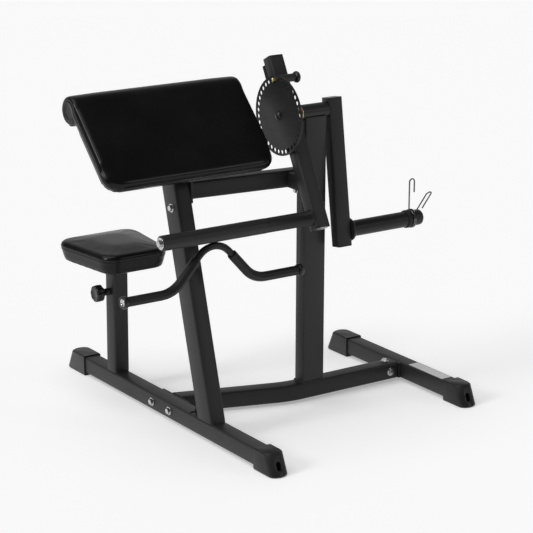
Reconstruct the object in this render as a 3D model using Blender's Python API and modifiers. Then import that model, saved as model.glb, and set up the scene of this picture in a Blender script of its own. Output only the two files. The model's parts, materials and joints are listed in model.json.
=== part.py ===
"""Plate-loaded curl machine: a seat and a sloping arm pad on a welded frame, and a weight
arm and a lever arm that share one pivot and are locked together by a pin in a holed disc.

Metres, +Z up. The user sits at +Y and faces -Y. Every piece hangs from the empty
machine_frame, so x counts from the left rail's centre plane, y from the left rail's
mid-length and z from the floor. The frame empty shifts x and y so that the whole
machine is centred over the origin.
"""

from math import asin, cos, pi, radians, sin, tan

import bmesh
import bpy
from mathutils import Matrix, Vector

# ---------------------------------------------------------------- driving dimensions

GAP = 0.0003  # clearance between pieces that touch

# Square steel tube, and the rails that stand on rubber feet
TUBE = 0.050
WALL = 0.0025
TUBE_CORNER = 0.006
LIFT = 0.009  # the feet lift the rails off the floor
RAIL_TOP = LIFT + TUBE
LEFT_RAIL_FRONT = -0.5585
LEFT_RAIL_REAR = 0.578
RIGHT_RAIL_X = 0.7762
RIGHT_RAIL_REACH = 0.337  # from the pivot's line to its front tip
FRONT_FOOT = 0.095  # length of a shoe
REAR_FOOT = 0.114
FOOT_POCKET = 0.052  # how far a rail goes into its shoe
FOOT_WIDTH = 0.058
FOOT_TOP = RAIL_TOP + 0.004
FOOT_SLANT = 0.027  # how far the foot's nose leans back over its height

# The pivot that both arms share, a line along x
PIVOT_Y = -0.078
PIVOT_Z = 0.8693
RIGHT_RAIL_FRONT = PIVOT_Y - RIGHT_RAIL_REACH
RIGHT_RAIL_REAR = PIVOT_Y + RIGHT_RAIL_REACH + REAR_FOOT - FRONT_FOOT

# Cross tube: leaves the left rail at an angle and runs straight to the right rail
CROSS_START_Y = 0.0235
CROSS_ANGLE = radians(17.5)
CROSS_BEND = 0.30
FLANGE = 0.006  # flange plate thickness

# Upright and pivot housing
UPRIGHT_X = 0.4310
UPRIGHT_WIDTH = 0.075
UPRIGHT_DEPTH = 0.046
HOUSING_START = 0.388
HOUSING_END = 0.4765
HOUSING_RADIUS = 0.0225
BUSH_RADIUS = 0.0180
BUSH_FLANGE = 0.0028
SHAFT_RADIUS = 0.0125

# Sloping post under the arm pad
POST_FRONT_Y = -0.2475  # front face at the rail's top
POST_TILT = radians(15.9)
POST_DEPTH = 0.070

# Top beam from the sloping post to the upright
BEAM_HEIGHT = 0.050
BEAM_DEPTH = 0.042
BEAM_Z = 0.6865
BEAM_LEFT_Y = -0.0435  # beam's centre at the sloping post
BEAM_RIGHT_Y = -0.0850  # beam's centre at the upright
STOP_X = 0.328
STOP_WIDTH = 0.044
STOP_HEIGHT = 0.044

# Arm pad
PAD_LEFT = -0.281
PAD_RIGHT = 0.270
PAD_SLOPE = radians(45.5)
PAD_THICKNESS = 0.044
PAD_LENGTH = 0.278  # from the roll's centre to the lower edge, along the slope
PAD_CORNER = 0.046
BOARD = 0.012  # plywood under each cushion
BOARD_INSET = 0.010
SEAT_BOARD_INSET = 0.020
ROLL_RADIUS = 0.043
ROLL_Y = 0.0715
ROLL_Z = 0.9236

# Seat
SEAT_POST_Y = 0.3065
SEAT_POST_TOP = 0.388
SEAT_INNER = 0.0440
SEAT_LENGTH = 0.271
SEAT_FRONT_HALF = 0.105
SEAT_BACK_HALF = 0.137
SEAT_CORNER = 0.045
SEAT_BASE_Z = 0.397
SEAT_THICKNESS = 0.060
SEAT_PLATE = 0.0036
SEAT_HOLES = 7
SEAT_PITCH = 0.025
SEAT_PIN_Z = 0.310

# Weight arm, plate horn, and what is on the horn
ARM_WIDTH = 0.0475
ARM_DEPTH = 0.040
WEIGHT_ARM_X = 0.480  # its left face
WEIGHT_TILT = radians(8.04)
WEIGHT_TOP = 0.029  # reach above the pivot, along the arm
WEIGHT_BOTTOM = 0.398
HORN_DROP = 0.357  # horn's distance from the pivot along the arm
HORN_RADIUS = 0.0235
HORN_END = 0.786
HORN_CAP = 0.011
RING_START = 0.737
RING_LENGTH = 0.014
CLIP_WIRE = 0.0023  # wire radius

# Lever arm, index disc and index pin
LEVER_X = 0.326  # its left face
LEVER_TILT = radians(28.0)
LEVER_TOP = 0.169
LEVER_BOTTOM = 0.336
DISC_X = 0.314  # its left face
DISC_THICKNESS = 0.004
DISC_RADIUS = 0.1145
DISC_HOLES = 36
DISC_HOLE_RADIUS = 0.0065
INDEX_CIRCLE = 0.103
INDEX_ANGLE = radians(10.0)  # the pin's place on the disc, from straight up
INDEX_PIN_RADIUS = 0.0060
INDEX_BARREL_RADIUS = 0.0115

# Curl handle: a sleeve that turns on the axle, with a cranked bar welded under it
HANDLE_DROP = 0.305  # axle's distance from the pivot along the lever arm
AXLE_RADIUS = 0.021
SLEEVE_RADIUS = 0.0215
SLEEVE_START = -0.166
SLEEVE_END = 0.1705
BAR_RADIUS = 0.0105
BAR_X = 0.003  # centre of the bar, close to the left rail's plane
BAR_HALF = 0.285
BAR_SLOPE = radians(48.0)
BAR_DROP = 0.146  # grips' distance below the axle
ARCH_BEND = 0.066
GRIP_BEND = 0.085
GRIP_RADIUS = 0.0145
GRIP_CAP = 0.009  # how far a grip's end cap stands out
GRIP_START = 0.058  # how far down the slope's line the grip begins, measured along x

ROUND = 24  # sides of a round piece


def lever_point(along, tilt):
    """A point in the pivot's plane, a distance below the pivot along a tilted arm."""
    return PIVOT_Y - along * sin(tilt), PIVOT_Z - along * cos(tilt)


HANDLE_Y, HANDLE_Z = lever_point(HANDLE_DROP, LEVER_TILT)
HORN_Y, HORN_Z = lever_point(HORN_DROP, WEIGHT_TILT)
INDEX_Y = PIVOT_Y + INDEX_CIRCLE * sin(INDEX_ANGLE)
INDEX_Z = PIVOT_Z + INDEX_CIRCLE * cos(INDEX_ANGLE)
POST_CENTRE_Y = POST_FRONT_Y + POST_DEPTH / cos(POST_TILT) / 2

# Directions along the arm pad's slope and out of its face, and a point of its underside
PAD_DOWN = Vector((0.0, -cos(PAD_SLOPE), -sin(PAD_SLOPE)))
PAD_OUTWARD = Vector((0.0, -sin(PAD_SLOPE), cos(PAD_SLOPE)))
ROLL_CENTRE = Vector((0.0, ROLL_Y, ROLL_Z))
PAD_UNDERSIDE = ROLL_CENTRE + PAD_OUTWARD * (ROLL_RADIUS - PAD_THICKNESS)
BRACKET = 0.004
POST_HEAD = PAD_UNDERSIDE - PAD_OUTWARD * (BRACKET + 2 * GAP)

LEFT_END = BAR_X - BAR_HALF - GRIP_CAP
RIGHT_END = RIGHT_RAIL_X + FOOT_WIDTH / 2
LEFT_RAIL_X = -(LEFT_END + RIGHT_END) / 2
LEFT_RAIL_Y = -(LEFT_RAIL_FRONT + LEFT_RAIL_REAR) / 2

# ---------------------------------------------------------------- scene and materials

for old in list(bpy.data.objects):
    bpy.data.objects.remove(old, do_unlink=True)

MACHINE = bpy.data.collections.new("curl_machine")
CUTTERS = bpy.data.collections.new("cutters")
bpy.context.scene.collection.children.link(MACHINE)
bpy.context.scene.collection.children.link(CUTTERS)


def make_material(name, colour, roughness, metallic):
    material = bpy.data.materials.new(name)
    material.use_nodes = True
    shader = material.node_tree.nodes["Principled BSDF"]
    shader.inputs["Base Color"].default_value = (*colour, 1.0)
    shader.inputs["Roughness"].default_value = roughness
    shader.inputs["Metallic"].default_value = metallic
    material.diffuse_color = (*colour, 1.0)
    return material


POWDER_COAT = make_material("powder_coat", (0.035, 0.035, 0.037), 0.5, 0.0)
RUBBER = make_material("rubber", (0.030, 0.030, 0.031), 0.7, 0.0)
BLACK_PLASTIC = make_material("black_plastic", (0.022, 0.022, 0.023), 0.4, 0.0)
VINYL = make_material("vinyl", (0.016, 0.016, 0.017), 0.35, 0.0)
PLYWOOD = make_material("plywood", (0.10, 0.075, 0.05), 0.8, 0.0)
CHROME = make_material("chrome", (0.78, 0.78, 0.78), 0.18, 1.0)
BRONZE = make_material("bronze", (0.62, 0.42, 0.22), 0.35, 1.0)
BRASS = make_material("pin_steel", (0.72, 0.62, 0.42), 0.25, 1.0)

# ---------------------------------------------------------------- shape helpers


def show(name, data, material, collection=MACHINE):
    """Link an object that shows the given mesh or curve."""
    thing = bpy.data.objects.new(name, data)
    if material:
        data.materials.append(material)
    collection.objects.link(thing)
    return thing


def empty(name, location, parent=None):
    """An empty on a joint's axis. The location counts from the machine frame."""
    thing = bpy.data.objects.new(name, None)
    thing.empty_display_size = 0.05
    thing.location = location
    thing.parent = parent
    MACHINE.objects.link(thing)
    return thing


def mount(thing, joint, location=(0.0, 0.0, 0.0), rotation=(0.0, 0.0, 0.0)):
    """Hang a piece from its joint's empty, at a location in the machine frame."""
    thing.parent = joint
    thing.rotation_euler = rotation
    offset = Vector((0.0, 0.0, 0.0)) if joint == FRAME else joint.location
    thing.location = Vector(location) - offset
    return thing


def rounded(corners, radii, steps=3):
    """A closed outline through the corners, each one rounded by an arc."""
    points = []
    count = len(corners)
    for index, corner in enumerate(corners):
        here = Vector(corner)
        back = (Vector(corners[index - 1]) - here).normalized()
        ahead = (Vector(corners[(index + 1) % count]) - here).normalized()
        half = back.angle(ahead) / 2
        radius = radii[index] if isinstance(radii, (list, tuple)) else radii
        centre = here + (back + ahead).normalized() * radius / sin(half)
        start = here + back * radius / tan(half) - centre
        turn = (pi - 2 * half) * (1 if back.cross(ahead) < 0 else -1)
        for step in range(steps + 1):
            points.append(centre + Matrix.Rotation(turn * step / steps, 2) @ start)
    return [(point.x, point.y) for point in points]


def rectangle(width, depth, corner, steps=3):
    half_w, half_d = width / 2, depth / 2
    corners = [(-half_w, -half_d), (half_w, -half_d), (half_w, half_d), (-half_w, half_d)]
    return rounded(corners, corner, steps) if corner else corners


def circle(radius, sides, centre=(0.0, 0.0), turn=0.0):
    angles = [turn + 2 * pi * side / sides for side in range(sides)]
    return [(centre[0] + radius * cos(a), centre[1] + radius * sin(a)) for a in angles]


def plate(name, loops, thickness, material, collection=MACHINE):
    """A flat piece from an outer loop and its holes, thick along its own z."""
    curve = bpy.data.curves.new(name, "CURVE")
    curve.dimensions = "2D"
    curve.fill_mode = "BOTH"
    curve.extrude = thickness / 2
    for loop in loops:
        spline = curve.splines.new("POLY")
        spline.points.add(len(loop) - 1)
        for point, (x, y) in zip(spline.points, loop):
            point.co = (x, y, 0.0, 1.0)
        spline.use_cyclic_u = True
    return show(name, curve, material, collection)


def to_mesh(thing):
    """Replace a curve by its closed mesh, so that it can be cut."""
    bpy.context.view_layer.update()
    evaluated = thing.evaluated_get(bpy.context.evaluated_depsgraph_get())
    mesh = bpy.data.meshes.new_from_object(evaluated)
    welded = bmesh.new()
    welded.from_mesh(mesh)
    bmesh.ops.remove_doubles(welded, verts=welded.verts, dist=0.00001)
    welded.to_mesh(mesh)
    welded.free()
    name, collection = thing.name, thing.users_collection[0]
    matrix = thing.matrix_world.copy()
    bpy.data.objects.remove(thing, do_unlink=True)
    solid = bpy.data.objects.new(name, mesh)
    collection.objects.link(solid)
    solid.matrix_world = matrix
    return solid


def box_tube(name, width, depth, length, material=POWDER_COAT, wall=WALL):
    """An open square tube along its own z."""
    outer = rectangle(width, depth, TUBE_CORNER)
    inner = rectangle(width - 2 * wall, depth - 2 * wall, TUBE_CORNER - wall)
    return plate(name, [outer, inner], length, material)


def turned(name, profile, material, closed=False, sides=ROUND):
    """A turned piece: (radius, z) pairs down its outer side, spun about its own z."""
    mesh = bpy.data.meshes.new(name)
    verts = [(radius, 0.0, z) for radius, z in profile]
    edges = [(i, i + 1) for i in range(len(verts) - 1)]
    if closed:
        edges.append((len(verts) - 1, 0))
    mesh.from_pydata(verts, edges, [])
    thing = show(name, mesh, material)
    screw = thing.modifiers.new("turn", "SCREW")
    screw.axis = "Z"
    screw.steps = sides
    screw.render_steps = sides
    screw.use_merge_vertices = True
    screw.merge_threshold = 0.00001
    screw.use_normal_calculate = False
    screw.use_smooth_shade = True
    return thing


def ring_profile(outer, inner, top, bottom):
    """The closed section of a plain ring or round tube."""
    return [(inner, top), (outer, top), (outer, bottom), (inner, bottom)]


def wire(name, points, radius, material, sides=2, caps=True):
    """A round bar or wire through the points."""
    curve = bpy.data.curves.new(name, "CURVE")
    curve.dimensions = "3D"
    curve.bevel_depth = radius
    curve.bevel_resolution = sides
    curve.use_fill_caps = caps
    spline = curve.splines.new("POLY")
    spline.points.add(len(points) - 1)
    for point, place in zip(spline.points, points):
        point.co = (*place, 1.0)
    return show(name, curve, material)


def cutter_box(name, size, centre, rotation=(0.0, 0.0, 0.0)):
    return hidden(bmesh_box(name, size), centre, rotation)


def cutter_rod(name, radius, length, centre, rotation=(0.0, 0.0, 0.0), sides=ROUND):
    mesh = bpy.data.meshes.new(name)
    shape = bmesh.new()
    bmesh.ops.create_cone(shape, cap_ends=True, segments=sides, radius1=radius,
                          radius2=radius, depth=length)
    shape.to_mesh(mesh)
    shape.free()
    return hidden(show(name, mesh, None, CUTTERS), centre, rotation)


def bmesh_box(name, size, collection=CUTTERS, material=None):
    mesh = bpy.data.meshes.new(name)
    shape = bmesh.new()
    bmesh.ops.create_cube(shape, size=1.0, matrix=Matrix.Diagonal((*size, 1.0)))
    shape.to_mesh(mesh)
    shape.free()
    return show(name, mesh, material, collection)


def hidden(thing, centre, rotation):
    thing.location = centre
    thing.rotation_euler = rotation
    thing.hide_render = True
    thing.display_type = "WIRE"
    return thing


def cut(thing, cutter, operation="DIFFERENCE"):
    """Cut a piece with a hidden solid that moves along with it."""
    cutter.parent = thing
    modifier = thing.modifiers.new(operation.lower(), "BOOLEAN")
    modifier.operation = operation
    modifier.object = cutter
    modifier.solver = "EXACT"
    return thing


# Turned pieces along x: +z of the profile points to -x or +x
TO_LEFT = (0.0, -pi / 2, 0.0)
TO_RIGHT = (0.0, pi / 2, 0.0)
TO_FRONT = (pi / 2, 0.0, 0.0)
UPWARDS = (0.0, 0.0, 0.0)


def hex_bolt(name, joint, location, rotation, washer=0.0125, head=0.0095, height=0.007):
    """Hex head on a washer. The location is on the face that it clamps."""
    thickness = 0.002
    body = turned(name, [(0.0, thickness), (washer, thickness), (washer, GAP),
                         (0.0, GAP)], CHROME)
    mesh = bpy.data.meshes.new(name + "_head")
    shape = bmesh.new()
    bmesh.ops.create_cone(shape, cap_ends=True, segments=6, radius1=head,
                          radius2=head * 0.9, depth=height)
    shape.to_mesh(mesh)
    shape.free()
    top = hidden(show(name + "_head", mesh, None, CUTTERS),
                 (0.0, 0.0, thickness - 0.0005 + height / 2), (0.0, 0.0, 0.0))
    cut(body, top, "UNION")
    return mount(body, joint, location, rotation)


# ---------------------------------------------------------------- joints

FRAME = empty("machine_frame", (LEFT_RAIL_X, LEFT_RAIL_Y, 0.0))
WEIGHT = empty("weight_pivot", (HOUSING_START, PIVOT_Y, PIVOT_Z), FRAME)
LEVER = empty("lever_pivot", (LEVER_X, PIVOT_Y, PIVOT_Z), FRAME)
HANDLE = empty("handle_pivot", (SLEEVE_START, HANDLE_Y, HANDLE_Z), FRAME)
INDEX = empty("index_pin_slide", (LEVER_X, INDEX_Y, INDEX_Z), FRAME)
SEAT = empty("seat_slide", (0.0, SEAT_POST_Y, SEAT_POST_TOP), FRAME)
SEAT_PIN = empty("seat_pin_slide", (-TUBE / 2, SEAT_POST_Y, SEAT_PIN_Z), FRAME)
CLIP = empty("clip_slide", (RING_START, HORN_Y, HORN_Z), FRAME)

# ---------------------------------------------------------------- rails and feet


def make_foot(name, x, y, heading, length):
    """Rubber shoe round a rail's end. heading is +1 where its nose points to +Y."""
    half = FOOT_WIDTH / 2
    arc_steps = 8
    mesh = bpy.data.meshes.new(name)
    shape = bmesh.new()
    rings = []
    levels = ((0.0, 0.0), (0.004, 0.0), (FOOT_TOP - 0.003, 1.0), (FOOT_TOP, 1.0))
    for level, (z, lean) in enumerate(levels):
        nose = length - FOOT_SLANT * lean * z / FOOT_TOP
        shrink = 0.003 if level in (0, 3) else 0.0
        side = half - shrink
        outline = [(side, 0.0)]
        for step in range(arc_steps + 1):
            angle = pi * step / arc_steps
            reach = 0.7 * half
            outline.append((side * cos(angle), nose - shrink - reach + reach * sin(angle)))
        outline.append((-side, 0.0))
        rings.append([shape.verts.new((px, heading * py, z)) for px, py in outline])
    for low, high in zip(rings, rings[1:]):
        count = len(low)
        for i in range(count):
            j = (i + 1) % count
            shape.faces.new((low[i], low[j], high[j], high[i]))
    shape.faces.new(rings[0])
    shape.faces.new(rings[-1])
    bmesh.ops.recalc_face_normals(shape, faces=shape.faces)
    shape.to_mesh(mesh)
    shape.free()
    foot = show(name, mesh, RUBBER)
    pocket = cutter_box(name + "_pocket",
                        (TUBE + 2 * GAP, 2 * FOOT_POCKET, TUBE + 2 * GAP),
                        (0.0, 0.0, LIFT + TUBE / 2))
    cut(foot, pocket)
    recess = cutter_rod(name + "_recess", 0.0075, 0.030,
                        (0.0, heading * (length - 0.006), 0.030),
                        (heading * radians(-66), 0.0, 0.0), sides=12)
    cut(foot, recess)
    return mount(foot, FRAME, (x, y - heading * length, 0.0))


def make_rail(name, x, front, rear):
    """A floor rail, with a shoe on each end that reaches from front to rear in all."""
    start = front + FRONT_FOOT - FOOT_POCKET + GAP
    end = rear - REAR_FOOT + FOOT_POCKET - GAP
    rail = box_tube(name, TUBE, TUBE, end - start)
    mount(rail, FRAME, (x, (start + end) / 2, LIFT + TUBE / 2), TO_FRONT)
    make_foot(name.replace("rail", "foot_front"), x, front, -1, FRONT_FOOT)
    make_foot(name.replace("rail", "foot_rear"), x, rear, 1, REAR_FOOT)


def make_cross_tube():
    """The bent floor tube, its flange on the left rail, and its socket on the right."""
    start_x = TUBE / 2 + FLANGE + 2 * GAP
    end_x = RIGHT_RAIL_X - TUBE / 2 - FLANGE - 2 * GAP
    corner_x = start_x + (CROSS_START_Y - PIVOT_Y) / tan(CROSS_ANGLE)
    reach = CROSS_BEND * tan(CROSS_ANGLE / 2)
    centre = Vector((corner_x + reach, PIVOT_Y + CROSS_BEND))
    margin = 0.012
    line = [Vector((start_x - margin, CROSS_START_Y + margin * tan(CROSS_ANGLE)))]
    for step in range(9):
        turn = CROSS_ANGLE * (1 - step / 8)
        line.append(centre + CROSS_BEND * Vector((-sin(turn), -cos(turn))))
    line.append(Vector((end_x, PIVOT_Y)))

    profile = bpy.data.curves.new("cross_section", "CURVE")
    profile.dimensions = "2D"
    spline = profile.splines.new("POLY")
    section = rectangle(TUBE, TUBE, TUBE_CORNER)
    spline.points.add(len(section) - 1)
    for point, (x, y) in zip(spline.points, section):
        point.co = (x, y, 0.0, 1.0)
    spline.use_cyclic_u = True
    profile_object = show("cross_section", profile, None, CUTTERS)
    profile_object.hide_render = True

    tube = wire("cross_tube", [(p.x, p.y, 0.0) for p in line], 0.0, POWDER_COAT,
                caps=False)
    tube.data.twist_mode = "Z_UP"
    tube.data.bevel_mode = "OBJECT"
    tube.data.bevel_object = profile_object
    shell = tube.modifiers.new("wall", "SOLIDIFY")
    shell.thickness = WALL
    shell.offset = 1.0
    shell.use_even_offset = True
    tube = to_mesh(tube)
    block = 0.1
    cut(tube, cutter_box("cross_tube_end", (block, block, block),
                         (start_x - block / 2, CROSS_START_Y, 0.0)))
    mount(tube, FRAME, (0.0, 0.0, LIFT + TUBE / 2))

    flange = plate("cross_flange_left", [rectangle(0.150, 0.046, 0.006)], FLANGE,
                   POWDER_COAT)
    mount(flange, FRAME, (TUBE / 2 + GAP + FLANGE / 2, CROSS_START_Y, LIFT + TUBE / 2),
          (pi / 2, 0.0, pi / 2))

    socket = bmesh_box("cross_socket_right", (FLANGE, 0.062, 0.047), MACHINE, POWDER_COAT)
    inner = TUBE - 2 * WALL - 2 * GAP
    depth, weld = 0.070, 0.001
    insert = plate("cross_socket_insert", [rectangle(inner, inner, TUBE_CORNER - WALL)],
                   depth, None, CUTTERS)
    cut(socket, hidden(to_mesh(insert), (-depth / 2 - FLANGE / 2 + weld, 0.0, 0.0),
                       TO_RIGHT), "UNION")
    mount(socket, FRAME, (end_x + GAP + FLANGE / 2, PIVOT_Y, LIFT + TUBE / 2))


def make_frame_posts():
    """Upright with its pivot housing, the sloping post and the seat post."""
    saddle_drop = 0.012
    upright_top = PIVOT_Z - saddle_drop
    height = upright_top - RAIL_TOP - GAP
    upright = to_mesh(box_tube("upright", UPRIGHT_WIDTH, UPRIGHT_DEPTH, height))
    cut(upright, cutter_rod("upright_saddle", HOUSING_RADIUS + 1.5 * GAP, 0.2,
                            (0.0, 0.0, height / 2 + saddle_drop), TO_RIGHT))
    mount(upright, FRAME, (UPRIGHT_X, PIVOT_Y, RAIL_TOP + GAP + height / 2))

    housing_length = HOUSING_END - HOUSING_START
    housing = turned("pivot_housing", ring_profile(HOUSING_RADIUS, BUSH_RADIUS + GAP,
                                                   housing_length, 0.0),
                     POWDER_COAT, closed=True)
    mount(housing, FRAME, (HOUSING_START, PIVOT_Y, PIVOT_Z), TO_RIGHT)

    bush_length = 0.028
    for name, x, direction in (("bush_left", HOUSING_START - GAP, TO_RIGHT),
                               ("bush_right", HOUSING_END + GAP, TO_LEFT)):
        inner = SHAFT_RADIUS + GAP
        bush = turned(name, [(inner, bush_length), (BUSH_RADIUS, bush_length),
                             (BUSH_RADIUS, 0.0), (HOUSING_RADIUS - 0.001, 0.0),
                             (HOUSING_RADIUS - 0.001, -BUSH_FLANGE),
                             (inner, -BUSH_FLANGE)], BRONZE, closed=True)
        mount(bush, FRAME, (x, PIVOT_Y, PIVOT_Z), direction)

    foot = Vector((0.0, POST_CENTRE_Y, RAIL_TOP + GAP))
    along = Vector((0.0, sin(POST_TILT), cos(POST_TILT)))
    head = POST_HEAD - foot
    length = head.dot(PAD_OUTWARD) / along.dot(PAD_OUTWARD)
    margin = 0.12
    post = to_mesh(box_tube("sloping_post", TUBE, POST_DEPTH, length + 2 * margin))
    roll_room = 0.010
    level = (ROLL_Z - ROLL_RADIUS - roll_room - foot.z) / cos(POST_TILT) - length / 2
    cut_beyond(post, "post_foot_cut", -length / 2, POST_TILT, -1)
    cut_beyond(post, "post_head_cut", length / 2, PAD_SLOPE + POST_TILT, 1)
    cut_beyond(post, "post_level_cut", level, POST_TILT, 1)
    add_gusset(post, length)
    mount(post, FRAME, foot + along * length / 2, (-POST_TILT, 0.0, 0.0))

    seat_post_length = SEAT_POST_TOP - RAIL_TOP - GAP
    seat_post = to_mesh(box_tube("seat_post", TUBE, TUBE, seat_post_length))
    cut(seat_post, cutter_rod("seat_post_hole", 0.0058, 0.02,
                              (-TUBE / 2, 0.0, SEAT_PIN_Z - RAIL_TOP - GAP
                               - seat_post_length / 2), TO_RIGHT, sides=16))
    mount(seat_post, FRAME, (0.0, SEAT_POST_Y, RAIL_TOP + GAP + seat_post_length / 2))


def cut_beyond(thing, name, height, slope, side):
    """Cut off what lies beyond a plane that crosses the piece's own z axis at a height."""
    block = 0.4
    offset = side * block / 2
    centre = (0.0, -offset * sin(slope), height + offset * cos(slope))
    cut(thing, cutter_box(name, (block, block, block), centre, (slope, 0.0, 0.0)))


def add_gusset(post, length):
    """Triangular web welded behind the sloping post's foot, in the post's own frame."""
    weld = 0.001
    face = POST_DEPTH / 2 - weld
    reach, rise, edge = 0.046, 0.072, 0.006
    outline = []
    for y, z in ((face, 0.0), (face + reach, 0.0), (face + reach, edge),
                 (face + edge, rise), (face, rise)):
        outline.append((y, z + y * tan(POST_TILT) - length / 2))
    web = plate("post_gusset", [outline], 0.006, None, CUTTERS)
    cut(post, hidden(to_mesh(web), (0.0, 0.0, 0.0), (pi / 2, 0.0, pi / 2)), "UNION")


def make_beam():
    """Top beam, its bracket and bolts, and the rubber block that the lever rests on."""
    start = Vector((TUBE / 2 + GAP, BEAM_LEFT_Y, BEAM_Z))
    end = Vector((UPRIGHT_X - UPRIGHT_WIDTH / 2 - GAP, BEAM_RIGHT_Y, BEAM_Z))
    run = end - start
    turn = asin((BEAM_RIGHT_Y - BEAM_LEFT_Y) / run.length)
    beam = to_mesh(box_tube("top_beam", BEAM_HEIGHT, BEAM_DEPTH, run.length + 0.06))
    half = (run.x / 2 - FLANGE - GAP) / cos(turn)
    cut_beyond(beam, "beam_left_cut", -half, turn, -1)
    cut_beyond(beam, "beam_right_cut", half, turn, 1)
    mount(beam, FRAME, (start + end) / 2, (-turn, pi / 2, 0.0))

    plate_height = 0.068
    left = bmesh_box("beam_bracket_left", (FLANGE, 0.056, plate_height), MACHINE,
                     POWDER_COAT)
    mount(left, FRAME, (start.x + FLANGE / 2, BEAM_LEFT_Y, BEAM_Z))
    right = bmesh_box("beam_bracket_right", (FLANGE, 0.050, 0.080), MACHINE, POWDER_COAT)
    mount(right, FRAME, (end.x - FLANGE / 2, PIVOT_Y, BEAM_Z - 0.016))

    lean = tan(LEVER_TILT)
    beam_front = (BEAM_RIGHT_Y - (end.x - STOP_X) * tan(turn)
                  - BEAM_DEPTH / cos(turn) / 2 - GAP)
    outline = []
    for z in (BEAM_Z - STOP_HEIGHT / 2, BEAM_Z + STOP_HEIGHT / 2):
        drop = PIVOT_Z - z
        outline.append((PIVOT_Y - drop * lean + ARM_DEPTH / 2 / cos(LEVER_TILT) + GAP, z))
    outline += [(beam_front - 0.006, outline[1][1]), (beam_front - 0.006, outline[0][1])]
    stop = plate("lever_stop", [outline], STOP_WIDTH, RUBBER)
    mount(stop, FRAME, (STOP_X + STOP_WIDTH / 2, 0.0, 0.0), (pi / 2, 0.0, pi / 2))


def frame_bolts():
    """The visible fasteners of the frame."""
    left_face = -TUBE / 2
    spacing = 0.094
    for number, side in ((1, -1), (2, 1)):
        hex_bolt(f"rail_bolt_{number}", FRAME,
                 (left_face, CROSS_START_Y + side * spacing / 2, LIFT + TUBE / 2), TO_LEFT)
    hex_bolt("post_bolt", FRAME, (left_face, BEAM_LEFT_Y - 0.004, BEAM_Z - 0.045), TO_LEFT)
    bracket_face = UPRIGHT_X - UPRIGHT_WIDTH / 2 - FLANGE - GAP
    hex_bolt("beam_bolt", FRAME, (bracket_face, PIVOT_Y + 0.012, BEAM_Z - 0.046), TO_LEFT,
             washer=0.010, head=0.008)
    socket_x = RIGHT_RAIL_X - TUBE / 2 - 0.034
    hex_bolt("socket_bolt_top", FRAME, (socket_x, PIVOT_Y + 0.005, RAIL_TOP), UPWARDS)
    hex_bolt("socket_bolt_front", FRAME,
             (socket_x, PIVOT_Y - TUBE / 2, LIFT + TUBE / 2), TO_FRONT)


# ---------------------------------------------------------------- arm pad and seat


def board_outline(width, length, grow):
    """The board's shape: its lower corners follow the pad's, a fixed distance inside."""
    half_w, half_l = width / 2 + grow, length / 2 + grow
    corner = PAD_CORNER - BOARD_INSET + grow
    return rounded([(-half_w, -half_l), (half_w, -half_l), (half_w, half_l),
                    (-half_w, half_l)], [corner, corner, 0.002, 0.002], 5)


def make_arm_pad():
    """Rolled pad on a plywood board, and the steel bracket on the post's head."""
    centre_x = (PAD_LEFT + PAD_RIGHT) / 2
    width = PAD_RIGHT - PAD_LEFT
    half = width / 2
    corner = PAD_CORNER
    outline = rounded([(-half, -PAD_LENGTH), (half, -PAD_LENGTH), (half, 0.0),
                       (-half, 0.0)], [corner, corner, 0.002, 0.002], 7)
    pad = to_mesh(plate("arm_pad", [outline], PAD_THICKNESS, VINYL))
    middle = PAD_THICKNESS / 2
    cut(pad, cutter_rod("arm_pad_roll", ROLL_RADIUS, width - 0.0004,
                        (0.0, 0.0, middle - ROLL_RADIUS), TO_RIGHT), "UNION")
    board_length = PAD_LENGTH - ROLL_RADIUS - 2 * BOARD_INSET
    board_drop = ROLL_RADIUS + BOARD_INSET + board_length / 2
    board_width = width - 2 * BOARD_INSET
    pocket = plate("arm_pad_pocket", [board_outline(board_width, board_length, GAP)],
                   2 * BOARD, None, CUTTERS)
    cut(pad, hidden(to_mesh(pocket), (0.0, -board_drop, -middle), (0.0, 0.0, 0.0)))
    tilt = (PAD_SLOPE, 0.0, 0.0)
    across = Vector((centre_x, 0.0, 0.0))
    mount(pad, FRAME, PAD_UNDERSIDE + across + PAD_OUTWARD * middle, tilt)

    board = plate("arm_pad_board", [board_outline(board_width, board_length, 0.0)],
                  BOARD - GAP, PLYWOOD)
    mount(board, FRAME, PAD_UNDERSIDE + across + PAD_DOWN * board_drop
          + PAD_OUTWARD * (BOARD - GAP) / 2, tilt)
    bracket = plate("arm_pad_bracket", [rectangle(0.160, 0.146, 0.010)], BRACKET,
                    POWDER_COAT)
    mount(bracket, FRAME, PAD_UNDERSIDE + PAD_DOWN * 0.131
          - PAD_OUTWARD * (GAP + BRACKET / 2), tilt)


def seat_outline(inset):
    half_length = SEAT_LENGTH / 2 - inset
    front, back = SEAT_FRONT_HALF - inset, SEAT_BACK_HALF - inset
    corners = [(-front, -half_length), (front, -half_length), (back, half_length),
               (-back, half_length)]
    return rounded(corners, SEAT_CORNER - inset, 5)


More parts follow.
